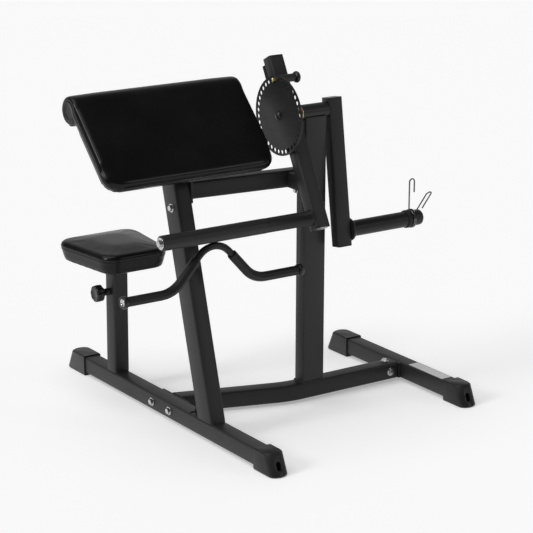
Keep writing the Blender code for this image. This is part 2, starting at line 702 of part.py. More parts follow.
def make_seat():
    """Cushion, board, steel plate, the holed inner post, and the spring pin."""
    cushion = to_mesh(plate("seat_cushion", [seat_outline(0.0)], SEAT_THICKNESS, VINYL))
    pocket = plate("seat_pocket", [seat_outline(SEAT_BOARD_INSET)], 2 * BOARD, None, CUTTERS)
    cut(cushion, hidden(to_mesh(pocket), (0.0, 0.0, -SEAT_THICKNESS / 2),
                        (0.0, 0.0, 0.0)))
    mount(cushion, SEAT, (0.0, SEAT_POST_Y, SEAT_BASE_Z + SEAT_THICKNESS / 2))
    board = plate("seat_board", [seat_outline(SEAT_BOARD_INSET + GAP)], BOARD - GAP, PLYWOOD)
    mount(board, SEAT, (0.0, SEAT_POST_Y, SEAT_BASE_Z + (BOARD - GAP) / 2))

    top = SEAT_BASE_Z - GAP - SEAT_PLATE / 2
    bottom = SEAT_PIN_Z - (SEAT_HOLES - 1) * SEAT_PITCH - 0.025
    length = top - bottom
    inner = to_mesh(box_tube("seat_inner_post", SEAT_INNER, SEAT_INNER, length))
    middle = (top + bottom) / 2
    for hole in range(SEAT_HOLES):
        z = SEAT_PIN_Z - hole * SEAT_PITCH - middle
        cut(inner, cutter_rod(f"seat_hole_{hole}", 0.0053, 0.012,
                              (-SEAT_INNER / 2, 0.0, z), TO_RIGHT, sides=12))
    steel = plate("seat_plate", [rectangle(0.150, 0.150, 0.012)], SEAT_PLATE, None,
                  CUTTERS)
    cut(inner, hidden(to_mesh(steel), (0.0, 0.0, length / 2), (0.0, 0.0, 0.0)), "UNION")
    mount(inner, SEAT, (0.0, SEAT_POST_Y, middle))

    place = (-TUBE / 2 - GAP, SEAT_POST_Y, SEAT_PIN_Z)
    collar = turned("seat_pin_barrel", [(0.0052, 0.016), (0.0095, 0.016), (0.0110, 0.0135),
                                        (0.0110, 0.0), (0.0052, 0.0)], POWDER_COAT,
                    closed=True, sides=16)
    mount(collar, FRAME, place, TO_LEFT)
    pin = turned("seat_pin", [(0.0, 0.0260), (0.0048, 0.0260), (0.0048, -0.0090),
                              (0.0030, -0.0110), (0.0, -0.0110)], BRASS, sides=16)
    mount(pin, SEAT_PIN, place, TO_LEFT)
    knob = turned("seat_knob", [(0.0, 0.0530), (0.0185, 0.0530), (0.0235, 0.0500),
                                (0.0250, 0.0450), (0.0250, 0.0260), (0.0235, 0.0225),
                                (0.0130, 0.0190), (0.0095, 0.0170), (0.0051, 0.0170),
                                (0.0051, 0.0263), (0.0, 0.0263)], BLACK_PLASTIC)
    mount(knob, SEAT_PIN, place, TO_LEFT)


# ---------------------------------------------------------------- weight arm


def make_weight_arm():
    """Shaft, index disc, weight arm, plate horn and everything that turns with them."""
    disc_back = DISC_X + DISC_THICKNESS
    bolt_hole = 0.0063
    holes = [circle(DISC_HOLE_RADIUS, 12,
                    (INDEX_CIRCLE * sin(2 * pi * k / DISC_HOLES),
                     INDEX_CIRCLE * cos(2 * pi * k / DISC_HOLES)))
             for k in range(DISC_HOLES)]
    disc = plate("index_disc", [circle(DISC_RADIUS, 72), circle(bolt_hole, 16)] + holes,
                 DISC_THICKNESS, POWDER_COAT)
    mount(disc, WEIGHT, (DISC_X + DISC_THICKNESS / 2, PIVOT_Y, PIVOT_Z),
          (pi / 2, 0.0, pi / 2))

    shaft_start = disc_back + GAP
    shaft_end = WEIGHT_ARM_X + ARM_WIDTH - WALL - GAP
    bore_depth = 0.030
    length = shaft_end - shaft_start
    shaft = turned("pivot_shaft", [(0.0, length), (SHAFT_RADIUS, length),
                                   (SHAFT_RADIUS, 0.0), (bolt_hole, 0.0),
                                   (bolt_hole, bore_depth), (0.0, bore_depth)], CHROME)
    mount(shaft, WEIGHT, (shaft_start, PIVOT_Y, PIVOT_Z), TO_RIGHT)
    bolt = turned("disc_bolt", [(0.0, 0.0075), (0.0050, 0.0070), (0.0095, 0.0050),
                                (0.0125, 0.0018), (0.0130, 0.0), (0.0060, 0.0),
                                (0.0060, -0.0300), (0.0, -0.0300)], BLACK_PLASTIC)
    mount(bolt, WEIGHT, (DISC_X - GAP, PIVOT_Y, PIVOT_Z), TO_LEFT)

    length = WEIGHT_TOP + WEIGHT_BOTTOM
    below = (WEIGHT_BOTTOM - WEIGHT_TOP) / 2
    arm_x = WEIGHT_ARM_X + ARM_WIDTH / 2
    arm = to_mesh(box_tube("weight_arm", ARM_WIDTH, ARM_DEPTH, length))
    cut(arm, cutter_rod("weight_arm_bore", SHAFT_RADIUS + GAP, 0.02,
                        (-ARM_WIDTH / 2, 0.0, below), TO_RIGHT))
    centre_y, centre_z = lever_point(below, WEIGHT_TILT)
    turn = (-WEIGHT_TILT, 0.0, 0.0)
    mount(arm, WEIGHT, (arm_x, centre_y, centre_z), turn)
    for name, along, side in (("weight_arm_cap_top", -WEIGHT_TOP, 1),
                              ("weight_arm_cap_bottom", WEIGHT_BOTTOM, -1)):
        make_tube_cap(name, WEIGHT, arm_x, along, WEIGHT_TILT, side)

    collar_end = 0.016
    hole = 0.0170
    horn_start = WEIGHT_ARM_X + ARM_WIDTH + GAP
    horn_length = HORN_END - horn_start
    horn = turned("weight_horn", [(hole, 0.0), (0.0345, 0.0), (0.0345, -0.006),
                                  (0.0250, -collar_end), (HORN_RADIUS, -collar_end),
                                  (HORN_RADIUS, -horn_length), (0.0205, -horn_length),
                                  (0.0205, -collar_end), (hole, -collar_end)],
                  POWDER_COAT, closed=True)
    mount(horn, WEIGHT, (horn_start, HORN_Y, HORN_Z), TO_LEFT)
    cap = turned("horn_cap", [(0.0, HORN_CAP), (0.0120, HORN_CAP), (0.0190, 0.0090),
                              (0.0228, 0.0050), (0.0235, 0.0), (0.0200, 0.0),
                              (0.0190, -0.0160), (0.0, -0.0160)], BLACK_PLASTIC)
    mount(cap, WEIGHT, (HORN_END + GAP, HORN_Y, HORN_Z), TO_RIGHT)

    ring = turned("plate_stop_ring", [(HORN_RADIUS + GAP, RING_LENGTH),
                                      (0.0255, RING_LENGTH), (0.0268, RING_LENGTH - 0.002),
                                      (0.0268, 0.002), (0.0255, 0.0),
                                      (HORN_RADIUS + GAP, 0.0)], RUBBER, closed=True)
    mount(ring, CLIP, (RING_START, HORN_Y, HORN_Z), TO_RIGHT)
    make_spring_clip()


def make_tube_cap(name, joint, x, along, tilt, side):
    """Plastic plug that closes a tube's end: a rim on the tube and a body inside it."""
    rim = 0.004
    body = 0.014
    cap = to_mesh(plate(name, [rectangle(ARM_WIDTH, ARM_DEPTH, TUBE_CORNER)], rim,
                        BLACK_PLASTIC))
    overlap = 0.001
    inset = 2 * (WALL + GAP)
    inside = rectangle(ARM_WIDTH - inset, ARM_DEPTH - inset, TUBE_CORNER - WALL)
    plug = to_mesh(plate(name + "_body", [inside], body + overlap, None, CUTTERS))
    middle = -side * (rim + body - overlap) / 2
    cut(cap, hidden(plug, (0.0, 0.0, middle), (0.0, 0.0, 0.0)), "UNION")
    centre_y, centre_z = lever_point(along - side * (rim / 2 + GAP), tilt)
    return mount(cap, joint, (x, centre_y, centre_z), (-tilt, 0.0, 0.0))


def make_spring_clip():
    """One wire: a looped ear, two turns and a bit round the horn, a second ear."""
    radius = HORN_RADIUS + CLIP_WIRE + 2 * GAP
    steps = 20
    pitch = 2 * CLIP_WIRE + 3 * GAP
    start = RING_START + RING_LENGTH + CLIP_WIRE + 2 * GAP
    lean = radians(37.0)  # from the upright ear to the second one
    total = 4 * pi + lean
    width = 0.018
    points = []

    def ear_points(angle, x, away, ear, hook):
        """Free end first: back along the hook, round its top and down to the coil."""
        out = Vector((0.0, -sin(angle), cos(angle)))
        side = Vector((away, 0.0, 0.0))
        base = Vector((x, 0.0, 0.0)) + out * radius
        ear_line = [base + side * width + out * (ear - hook)]
        ear_line.append(base + side * width + out * (ear - width / 2))
        for step in range(1, 8):
            arc = pi * step / 8
            ear_line.append(base + side * width / 2 * (1 + cos(arc))
                            + out * (ear - width / 2 + width / 2 * sin(arc)))
        ear_line.append(base + out * (ear - width / 2))
        ear_line.append(base + out * 0.012)
        return ear_line

    points += ear_points(0.0, start, 1.0, 0.094, 0.042)
    count = int(steps * total / (2 * pi))
    end_x = start + pitch * total / (2 * pi)
    for step in range(count + 1):
        angle = total * step / count
        x = start + (end_x - start) * step / count
        points.append(Vector((x, -radius * sin(angle), radius * cos(angle))))
    points += reversed(ear_points(total, end_x, 1.0, 0.090, 0.074))
    clip = wire("spring_clip", points, CLIP_WIRE, CHROME)
    mount(clip, CLIP, (0.0, HORN_Y, HORN_Z))


# ---------------------------------------------------------------- lever arm and handle


def make_lever():
    """Lever arm on its hub, with the index pin and the fixed part of the handle axle."""
    length = LEVER_TOP + LEVER_BOTTOM
    below = (LEVER_BOTTOM - LEVER_TOP) / 2
    arm_x = LEVER_X + ARM_WIDTH / 2
    hub_radius = 0.0175
    arm = to_mesh(box_tube("lever_arm", ARM_WIDTH, ARM_DEPTH, length))
    cut(arm, cutter_rod("lever_bore", hub_radius + GAP, 0.10, (0.0, 0.0, below), TO_RIGHT))
    centre_y, centre_z = lever_point(below, LEVER_TILT)
    mount(arm, LEVER, (arm_x, centre_y, centre_z), (-LEVER_TILT, 0.0, 0.0))
    for name, along, side in (("lever_cap_top", -LEVER_TOP, 1),
                              ("lever_cap_bottom", LEVER_BOTTOM, -1)):
        make_tube_cap(name, LEVER, arm_x, along, LEVER_TILT, side)

    hub_start = DISC_X + DISC_THICKNESS + GAP
    hub_end = HOUSING_START - GAP - BUSH_FLANGE - GAP
    hub = turned("lever_hub", ring_profile(hub_radius, SHAFT_RADIUS + GAP,
                                           hub_end - hub_start, 0.0),
                 CHROME, closed=True)
    mount(hub, LEVER, (hub_start, PIVOT_Y, PIVOT_Z), TO_RIGHT)

    barrel_start = DISC_X + DISC_THICKNESS + 0.0025
    barrel_end = LEVER_X + ARM_WIDTH + 0.004
    barrel = turned("index_barrel", ring_profile(INDEX_BARREL_RADIUS,
                                                 INDEX_PIN_RADIUS + 0.0005,
                                                 barrel_end - barrel_start, 0.0),
                    POWDER_COAT, closed=True, sides=20)
    mount(barrel, LEVER, (barrel_start, INDEX_Y, INDEX_Z), TO_RIGHT)

    tip = DISC_X - 0.012
    knob_x = barrel_end + 0.0015
    pin_length = knob_x + 0.009 - tip
    pin = turned("index_pin", [(0.0, pin_length), (INDEX_PIN_RADIUS, pin_length),
                               (INDEX_PIN_RADIUS, 0.003), (0.0030, 0.0), (0.0, 0.0)],
                 BRASS, sides=16)
    mount(pin, INDEX, (tip, INDEX_Y, INDEX_Z), TO_RIGHT)
    bore = INDEX_PIN_RADIUS + GAP
    knob = turned("index_knob", [(0.0, 0.0130), (0.0060, 0.0130), (0.0110, 0.0145),
                                 (0.0150, 0.0140), (0.0168, 0.0110), (0.0168, 0.0070),
                                 (0.0150, 0.0035), (0.0090, 0.0), (bore, 0.0),
                                 (bore, 0.0093), (0.0, 0.0093)], BLACK_PLASTIC)
    mount(knob, INDEX, (knob_x, INDEX_Y, INDEX_Z), TO_RIGHT)

    pad_length, pad_thickness = 0.044, 0.010
    rear = bmesh_box("lever_rear_pad", (ARM_WIDTH, pad_thickness, pad_length), MACHINE,
                     RUBBER)
    along = -(LEVER_TOP - 0.012 - pad_length / 2)
    y, z = lever_point(along, LEVER_TILT)
    away = ARM_DEPTH / 2 + GAP + pad_thickness / 2
    mount(rear, LEVER, (arm_x, y + away * cos(LEVER_TILT), z - away * sin(LEVER_TILT)),
          (-LEVER_TILT, 0.0, 0.0))

    rod = 0.0125
    seat = LEVER_X - GAP - SLEEVE_END - 0.0006
    whole = LEVER_X - GAP - SLEEVE_START + 0.0005
    axle = turned("handle_axle", [(0.0, 0.0), (0.0235, 0.0), (0.0235, -0.004),
                                  (AXLE_RADIUS, -0.008), (AXLE_RADIUS, -seat),
                                  (rod, -seat), (rod, -whole), (0.0, -whole)], POWDER_COAT)
    mount(axle, LEVER, (LEVER_X - GAP, HANDLE_Y, HANDLE_Z), TO_RIGHT)
    hex_bolt("handle_bolt", LEVER, (SLEEVE_START - 0.0005, HANDLE_Y, HANDLE_Z), TO_LEFT,
             washer=0.0170, head=0.0105, height=0.008)


def bar_route(reach):
    """Half of the cranked bar, from its middle out along +x to the given reach."""
    bar_top = SLEEVE_RADIUS + BAR_RADIUS + GAP
    rise = ARCH_BEND * (1 / cos(BAR_SLOPE) - 1)
    corner_z = -bar_top + rise
    route = []
    steps = 6
    for step in range(steps + 1):
        turn = BAR_SLOPE * step / steps
        route.append((ARCH_BEND * sin(turn), -bar_top - ARCH_BEND * (1 - cos(turn))))
    low_x = (corner_z + BAR_DROP) / tan(BAR_SLOPE)
    tangent = GRIP_BEND * tan(BAR_SLOPE / 2)
    centre = (low_x + tangent, -BAR_DROP + GRIP_BEND)
    for step in range(steps + 1):
        turn = BAR_SLOPE * (1 - step / steps)
        route.append((centre[0] - GRIP_BEND * sin(turn), centre[1] - GRIP_BEND * cos(turn)))
    route.append((reach, -BAR_DROP))
    return route


def make_handle():
    """Sleeve on the axle, cranked bar under it, and a rubber grip on each side."""
    length = SLEEVE_END - SLEEVE_START
    sleeve = turned("handle_sleeve", ring_profile(SLEEVE_RADIUS, 0.0128, length, 0.0),
                    POWDER_COAT, closed=True)
    mount(sleeve, HANDLE, (SLEEVE_START, HANDLE_Y, HANDLE_Z), TO_RIGHT)

    half = bar_route(BAR_HALF)
    full = [(-x, z) for x, z in reversed(half)] + half[1:]
    bar = wire("curl_bar", [(x, 0.0, z) for x, z in full], BAR_RADIUS, POWDER_COAT)
    mount(bar, HANDLE, (BAR_X, HANDLE_Y, HANDLE_Z))

    for name, side in (("left", -1), ("right", 1)):
        turn_point = half[7]
        slope_start = Vector(half[6])
        direction = (Vector(turn_point) - slope_start).normalized()
        start = slope_start + direction * (GRIP_START - slope_start.x) / direction.x
        line = [tuple(start)] + half[7:-1] + [(BAR_HALF - 0.006, -BAR_DROP)]
        grip = wire(f"grip_{name}", [(side * x, 0.0, z) for x, z in line], GRIP_RADIUS,
                    RUBBER, caps=False)
        shell = grip.modifiers.new("wall", "SOLIDIFY")
        shell.thickness = GRIP_RADIUS - BAR_RADIUS - 2 * GAP
        shell.offset = -1.0
        shell.use_even_offset = True
        mount(grip, HANDLE, (BAR_X, HANDLE_Y, HANDLE_Z))
        cap = turned(f"grip_cap_{name}", [(0.0, GRIP_CAP), (0.0120, GRIP_CAP),
                                          (0.0165, 0.006),
                                          (0.0175, 0.0), (0.0165, -0.0045),
                                          (BAR_RADIUS + GAP, -0.0045),
                                          (BAR_RADIUS + GAP, 0.001), (0.0, 0.001)],
                     BLACK_PLASTIC)
        mount(cap, HANDLE, (BAR_X + side * BAR_HALF, HANDLE_Y, HANDLE_Z - BAR_DROP),
              TO_RIGHT if side > 0 else TO_LEFT)


make_rail("left_rail", 0.0, LEFT_RAIL_FRONT, LEFT_RAIL_REAR)
make_rail("right_rail", RIGHT_RAIL_X, RIGHT_RAIL_FRONT, RIGHT_RAIL_REAR)
make_cross_tube()
make_frame_posts()
make_beam()
frame_bolts()
make_arm_pad()
make_seat()
make_weight_arm()
make_lever()
make_handle()
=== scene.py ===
"""Looks of the plate-loaded curl machine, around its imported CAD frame.

Every steel, plastic and rubber node is stood for by a copy of its own solid with softened
edges. The two cushions are remade as stuffed skins, the seat knob and the grips' ends are
remade in finer shape, and seams, stitches, welds and a blank label are added. Metres, +Z
up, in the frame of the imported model.
"""

import json
import math

import bmesh
import bpy
import numpy as np
from mathutils import Euler, Matrix, Vector
from mathutils.bvhtree import BVHTree
from mathutils.kdtree import KDTree


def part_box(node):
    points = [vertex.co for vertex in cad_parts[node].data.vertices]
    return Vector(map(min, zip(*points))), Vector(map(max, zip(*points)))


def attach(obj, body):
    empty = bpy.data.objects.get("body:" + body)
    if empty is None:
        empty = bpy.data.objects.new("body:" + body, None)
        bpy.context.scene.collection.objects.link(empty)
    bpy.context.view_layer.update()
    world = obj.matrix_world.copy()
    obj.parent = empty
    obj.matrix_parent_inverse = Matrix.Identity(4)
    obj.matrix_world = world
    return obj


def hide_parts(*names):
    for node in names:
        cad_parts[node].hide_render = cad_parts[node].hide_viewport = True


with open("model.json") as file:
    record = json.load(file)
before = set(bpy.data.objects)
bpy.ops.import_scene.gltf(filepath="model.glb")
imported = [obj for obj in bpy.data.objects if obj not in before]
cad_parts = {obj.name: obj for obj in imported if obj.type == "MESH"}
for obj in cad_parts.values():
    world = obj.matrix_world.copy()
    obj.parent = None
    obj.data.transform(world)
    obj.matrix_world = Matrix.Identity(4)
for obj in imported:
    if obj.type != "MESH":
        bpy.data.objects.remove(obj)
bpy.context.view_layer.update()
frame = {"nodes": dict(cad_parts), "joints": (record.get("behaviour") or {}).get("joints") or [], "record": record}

# ---------------------------------------------------------------- places in the frame

X_AXIS = Vector((1.0, 0.0, 0.0))
BODY_OF = {node: body for body, nodes in frame["record"]["behaviour"]["bodies"].items()
           for node in nodes}
SLOT_OF = {part["node"]: part["material_slot"] for part in frame["record"]["subparts"]}
JOINTS = {joint["name"]: joint for joint in frame["joints"]}


def middle(node):
    low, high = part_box(node)
    return (low + high) / 2


PIVOT = Vector(JOINTS["lever_curl"]["pos_m"])
POST_X = middle("left_rail").x
RAIL_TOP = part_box("left_rail")[1].z

# ---------------------------------------------------------------- material helpers


class Nodes:
    """A material under construction, with short calls for its procedural nodes."""

    def __init__(self, name):
        self.material = bpy.data.materials.new(name)
        self.material.use_nodes = True
        self.tree = self.material.node_tree
        self.shader = self.tree.nodes["Principled BSDF"]
        self.place = self.tree.nodes.new("ShaderNodeTexCoord").outputs["Object"]

    def join(self, source, target):
        self.tree.links.new(source, target)

    def noise(self, scale, detail=3.0, roughness=0.55, stretch=None, distortion=0.0):
        node = self.tree.nodes.new("ShaderNodeTexNoise")
        node.inputs["Scale"].default_value = scale
        node.inputs["Detail"].default_value = detail
        node.inputs["Roughness"].default_value = roughness
        node.inputs["Distortion"].default_value = distortion
        place = self.place
        if stretch:
            mapping = self.tree.nodes.new("ShaderNodeMapping")
            mapping.inputs["Scale"].default_value = stretch
            self.join(place, mapping.inputs["Vector"])
            place = mapping.outputs["Vector"]
        self.join(place, node.inputs["Vector"])
        return node.outputs["Fac"]

    def cells(self, scale, feature="F1", smoothness=None):
        node = self.tree.nodes.new("ShaderNodeTexVoronoi")
        node.feature = feature
        node.inputs["Scale"].default_value = scale
        if smoothness is not None:
            node.inputs["Smoothness"].default_value = smoothness
        self.join(self.place, node.inputs["Vector"])
        return node.outputs["Distance"]

    def ramp(self, value, low, high, to_low, to_high):
        node = self.tree.nodes.new("ShaderNodeMapRange")
        for name, number in (("From Min", low), ("From Max", high), ("To Min", to_low),
                             ("To Max", to_high)):
            node.inputs[name].default_value = number
        self.join(value, node.inputs["Value"])
        return node.outputs["Result"]

    def mix(self, factor, first, second):
        node = self.tree.nodes.new("ShaderNodeMix")
        node.data_type = "RGBA"
        self.join(factor, node.inputs["Factor"])
        for socket, colour in ((node.inputs["A"], first), (node.inputs["B"], second)):
            if isinstance(colour, tuple):
                socket.default_value = (*colour, 1.0)
            else:
                self.join(colour, socket)
        return node.outputs["Result"]

    def add(self, first, second, second_share=1.0):
        node = self.tree.nodes.new("ShaderNodeMath")
        node.operation = "MULTIPLY_ADD"
        self.join(second, node.inputs[0])
        node.inputs[1].default_value = second_share
        self.join(first, node.inputs[2])
        return node.outputs["Value"]

    def bump(self, height, distance, strength=1.0):
        node = self.tree.nodes.new("ShaderNodeBump")
        node.inputs["Distance"].default_value = distance
        node.inputs["Strength"].default_value = strength
        self.join(height, node.inputs["Height"])
        self.join(node.outputs["Normal"], self.shader.inputs["Normal"])

    def edges(self):
        """1 on convex edges and 0 on flat or hollow places."""
        geometry = self.tree.nodes.new("ShaderNodeNewGeometry")
        return self.ramp(geometry.outputs["Pointiness"], 0.52, 0.60, 0.0, 1.0)

    def finish(self, colour, roughness, metallic=0.0, **more):
        for name, value in (("Base Color", colour), ("Roughness", roughness)):
            socket = self.shader.inputs[name]
            if isinstance(value, tuple):
                socket.default_value = (*value, 1.0)
            elif isinstance(value, float):
                socket.default_value = value
            else:
                self.join(value, socket)
        self.shader.inputs["Metallic"].default_value = metallic
        for name, value in more.items():
            self.shader.inputs[name.replace("_", " ")].default_value = value
        return self.material


def powder_coat():
    """Satin black powder coat: fine orange peel, faint patches, and convex edges painted lighter as a painted
    highlight.
    """
    n = Nodes("powder_coat")
    patches = n.noise(9.0, 4.0)
    peel = n.noise(620.0, 2.0, 0.5)
    speck = n.noise(2100.0, 1.0, 0.5)
    colour = n.mix(n.ramp(patches, 0.35, 0.7, 0.0, 1.0), (0.0072, 0.0072, 0.0080),
                   (0.0105, 0.0105, 0.0112))
    # Painted highlight: convex edges are painted a lighter grey, where light would catch them.
    colour = n.mix(n.edges(), colour, (0.036, 0.036, 0.037))
    n.bump(n.add(peel, speck, 0.35), 0.00016, 0.55)
    return n.finish(colour, n.ramp(patches, 0.3, 0.75, 0.37, 0.47), Specular_IOR_Level=0.30)


def moulded_rubber(name, dark, light, low, high, grain=900.0, depth=0.0003):
    """Black rubber: fine moulded grain and dusty patches."""
    n = Nodes(name)
    patches = n.noise(22.0, 5.0)
    colour = n.mix(n.ramp(patches, 0.38, 0.68, 0.0, 1.0), dark, light)
    n.bump(n.noise(grain, 3.0, 0.6), depth, 0.5)
    return n.finish(colour, n.ramp(patches, 0.3, 0.7, low, high), Specular_IOR_Level=0.28)


def moulded_plastic():
    """Black moulded plastic with a spark-eroded grain."""
    n = Nodes("black_plastic")
    patches = n.noise(30.0, 4.0)
    colour = n.mix(n.ramp(patches, 0.35, 0.7, 0.0, 1.0), (0.0060, 0.0060, 0.0065),
                   (0.0100, 0.0100, 0.0105))
    n.bump(n.noise(1500.0, 2.0, 0.6), 0.00018, 0.5)
    return n.finish(colour, n.ramp(patches, 0.3, 0.7, 0.24, 0.34), Specular_IOR_Level=0.45)


def upholstery():
    """Black vinyl with a pebbled leather grain and a soft sheen."""
    n = Nodes("vinyl")
    patches = n.noise(7.0, 4.0)
    pebbles = n.cells(620.0, "SMOOTH_F1", 0.35)
    pores = n.noise(1500.0, 2.0, 0.5)
    creases = n.noise(46.0, 4.0, 0.6)
    colour = n.mix(n.ramp(patches, 0.35, 0.7, 0.0, 1.0), (0.0035, 0.0035, 0.004),
                   (0.006, 0.006, 0.0065))
    height = n.add(n.add(pebbles, pores, 0.3), creases, 0.6)
    n.bump(height, 0.00014, 0.40)
    return n.finish(colour, n.ramp(patches, 0.3, 0.75, 0.22, 0.30), Specular_IOR_Level=0.22)


def plated(name, colour, shade, low, high, brush=None):
    """Bright metal: slight clouding and fine polishing lines."""
    n = Nodes(name)
    clouds = n.noise(60.0, 4.0)
    lines = n.noise(300.0, 3.0, 0.6, stretch=brush or (1.0, 1.0, 6.0))
    tint = n.mix(n.ramp(clouds, 0.35, 0.7, 0.0, 1.0), shade, colour)
    n.bump(lines, 0.00004, 0.4)
    return n.finish(tint, n.ramp(n.add(clouds, lines, 0.5), 0.4, 1.1, low, high), 1.0)


def plywood():
    """Dark stained board: long wavy grain."""
    n = Nodes("plywood")
    grain = n.noise(40.0, 6.0, 0.65, stretch=(1.0, 14.0, 14.0), distortion=0.8)
    colour = n.mix(n.ramp(grain, 0.35, 0.68, 0.0, 1.0), (0.014, 0.011, 0.009),
                   (0.034, 0.026, 0.019))
    n.bump(grain, 0.0004, 0.4)
    return n.finish(colour, 0.72)


def thread_material():
    n = Nodes("thread")
    n.bump(n.noise(2600.0, 2.0), 0.0002, 0.6)
    return n.finish(n.mix(n.noise(160.0), (0.022, 0.022, 0.023), (0.045, 0.045, 0.047)),
                    0.6)


FINISH = {
    "powder_coat": powder_coat(),
    "rubber": moulded_rubber("rubber", (0.013, 0.013, 0.014), (0.020, 0.020, 0.021),
                             0.50, 0.62),
    "black_plastic": moulded_plastic(),
    "vinyl": upholstery(),
    "plywood": plywood(),
    "chrome": plated("chrome", (0.62, 0.62, 0.63), (0.50, 0.50, 0.52), 0.10, 0.22),
    "bronze": plated("bronze", (0.70, 0.47, 0.24), (0.52, 0.33, 0.15), 0.25, 0.42),
    "pin_steel": plated("pin_steel", (0.80, 0.68, 0.40), (0.62, 0.50, 0.26), 0.18, 0.32),
}
GRIP_RUBBER = moulded_rubber("grip_rubber", (0.009, 0.009, 0.010), (0.014, 0.014, 0.015),
                             0.40, 0.52, 1300.0, 0.00025)
SHOE = moulded_rubber("shoe", (0.014, 0.014, 0.015), (0.021, 0.021, 0.022), 0.30, 0.40)
# Painted reflection: a darkened copy of chrome for the spring clip, standing in for the dark surroundings its wire
# reflects.
CLIP_CHROME_DARKENED = plated("clip_chrome_painted_reflection", (0.17, 0.17, 0.18), (0.12, 0.12, 0.13), 0.12, 0.22)
# Painted shade: a darker copy of bronze for the right bush only, so that it reads as sitting in shadow.
SHADED_BRONZE = plated("bronze_painted_shade", (0.10, 0.065, 0.035), (0.05, 0.03, 0.018), 0.30, 0.45)
THREAD = thread_material()

# ---------------------------------------------------------------- rigid pieces


def new_piece(name, mesh, body, slot, material=None):
    piece = bpy.data.objects.new(name, mesh)
    bpy.context.scene.collection.objects.link(piece)
    mesh.materials.clear()
    mesh.materials.append(material or FINISH[slot])
    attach(piece, body)
    return piece


def welded_copy(node, flat=1.0):
    """The CAD node's mesh with its corners joined and its flat faces made whole."""
    mesh = frame["nodes"][node].data.copy()
    shape = bmesh.new()
    shape.from_mesh(mesh)
    bmesh.ops.remove_doubles(shape, verts=shape.verts, dist=0.000005)
    bmesh.ops.dissolve_limit(shape, angle_limit=math.radians(flat), verts=shape.verts,
                             edges=shape.edges)
    shape.to_mesh(mesh)
    shape.free()
    for name in list(mesh.attributes.keys()):
        if name in ("custom_normal", "sharp_face", "sharp_edge"):
            mesh.attributes.remove(mesh.attributes[name])
    return mesh


def soften(piece, width, segments=2, angle=42.0):
    """Round the sharp edges and shade the piece smooth across them."""
    piece.data.shade_smooth()
    bevel = piece.modifiers.new("edges", "BEVEL")
    bevel.width = width
    bevel.segments = segments
    bevel.limit_method = "ANGLE"
    bevel.angle_limit = math.radians(angle)
    bevel.use_clamp_overlap = True
    bevel.harden_normals = True
    return piece


EDGE = {"powder_coat": 0.0008, "rubber": 0.0016, "black_plastic": 0.0008,
        "plywood": 0.0006, "chrome": 0.0005, "bronze": 0.0004, "pin_steel": 0.0003}
OWN_EDGE = {"index_disc": 0.0005, "weight_horn": 0.0006, "spring_clip": 0.0002,
            "grip_left": 0.0010, "grip_right": 0.0010, "lever_stop": 0.0020,
            "cross_flange_left": 0.0010, "arm_pad_bracket": 0.0008}
REBUILT = ("arm_pad", "seat_cushion", "seat_knob", "grip_cap_left", "grip_cap_right")
# A foot's shallow panel and the hole in it: height, half width, half height, depth.
NOSE_HOLLOWS = ((0.0330, 0.0125, 0.0205, 0.0030), (0.0295, 0.0068, 0.0130, 0.0180))
OWN_FINISH = {"grip_": GRIP_RUBBER, "_foot_": SHOE, "spring_clip": CLIP_CHROME_DARKENED,
              "bush_right": SHADED_BRONZE}


def soften_nodes():
    for node in frame["nodes"]:
        if node in REBUILT:
            continue
        slot = SLOT_OF[node]
        material = FINISH[slot]
        for key, own in OWN_FINISH.items():
            if key in node:
                material = own
        mesh = welded_copy(node)
        if "_foot_" in node:
            for hollow in NOSE_HOLLOWS:
                mesh = cut_nose(mesh, node, *hollow)
        piece = new_piece(node + "_finished", mesh, BODY_OF[node], slot, material)
        soften(piece, OWN_EDGE.get(node, EDGE[slot]))
        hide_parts(node)


# ---------------------------------------------------------------- upholstery

SIMULATED_FRAMES = 20
SWELL_CAP = 1.3
SWELL_RANGE = 0.45
LEAST_SWELL = 0.55
GROOVE_WIDTH = 0.0024
PAD_SLOPE = math.radians(45.5)
PAD_THICKNESS = 0.044
PAD_LENGTH = 0.278
PAD_CORNER = 0.047
ROLL_RADIUS = 0.043
BOARD_THICKNESS = 0.012
PAD_SEAM = 0.021
ROLL_SEAM = 0.030
SEAT_SEAM = 0.018
PAD_LOW, PAD_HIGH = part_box("arm_pad")
SEAT_LOW, SEAT_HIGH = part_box("seat_cushion")
SEAT_MIDDLE = middle("seat_cushion")
ROLL_CENTRE = np.array([0.0, PAD_HIGH.y - ROLL_RADIUS, PAD_HIGH.z - ROLL_RADIUS])
DOWN = np.array([0.0, -math.cos(PAD_SLOPE), -math.sin(PAD_SLOPE)])
OUTWARD = np.array([0.0, -math.sin(PAD_SLOPE), math.cos(PAD_SLOPE)])


def pad_point(x, down, height):
    """A point of the arm pad: down the slope from the roll, above the underside."""
    above_roll = height - (PAD_THICKNESS - ROLL_RADIUS)
    return np.array([x, 0.0, 0.0]) + ROLL_CENTRE + DOWN * down + OUTWARD * above_roll


def pad_coordinates(points):
    offset = points - ROLL_CENTRE
    return offset @ DOWN, offset @ OUTWARD + PAD_THICKNESS - ROLL_RADIUS


def evenly(points, pitch, closed=False):
    """The same path with points a fixed distance apart."""
    points = np.asarray(points, dtype=float)
    if closed:
        points = np.vstack([points, points[:1]])
    lengths = np.linalg.norm(np.diff(points, axis=0), axis=1)
    along = np.concatenate([[0.0], np.cumsum(lengths)])
    count = max(2, int(round(along[-1] / pitch)) + 1)
    stations = np.linspace(0.0, along[-1], count)
    if closed:
        stations = stations[:-1]
    return np.stack([np.interp(stations, along, points[:, k]) for k in range(3)], axis=1)


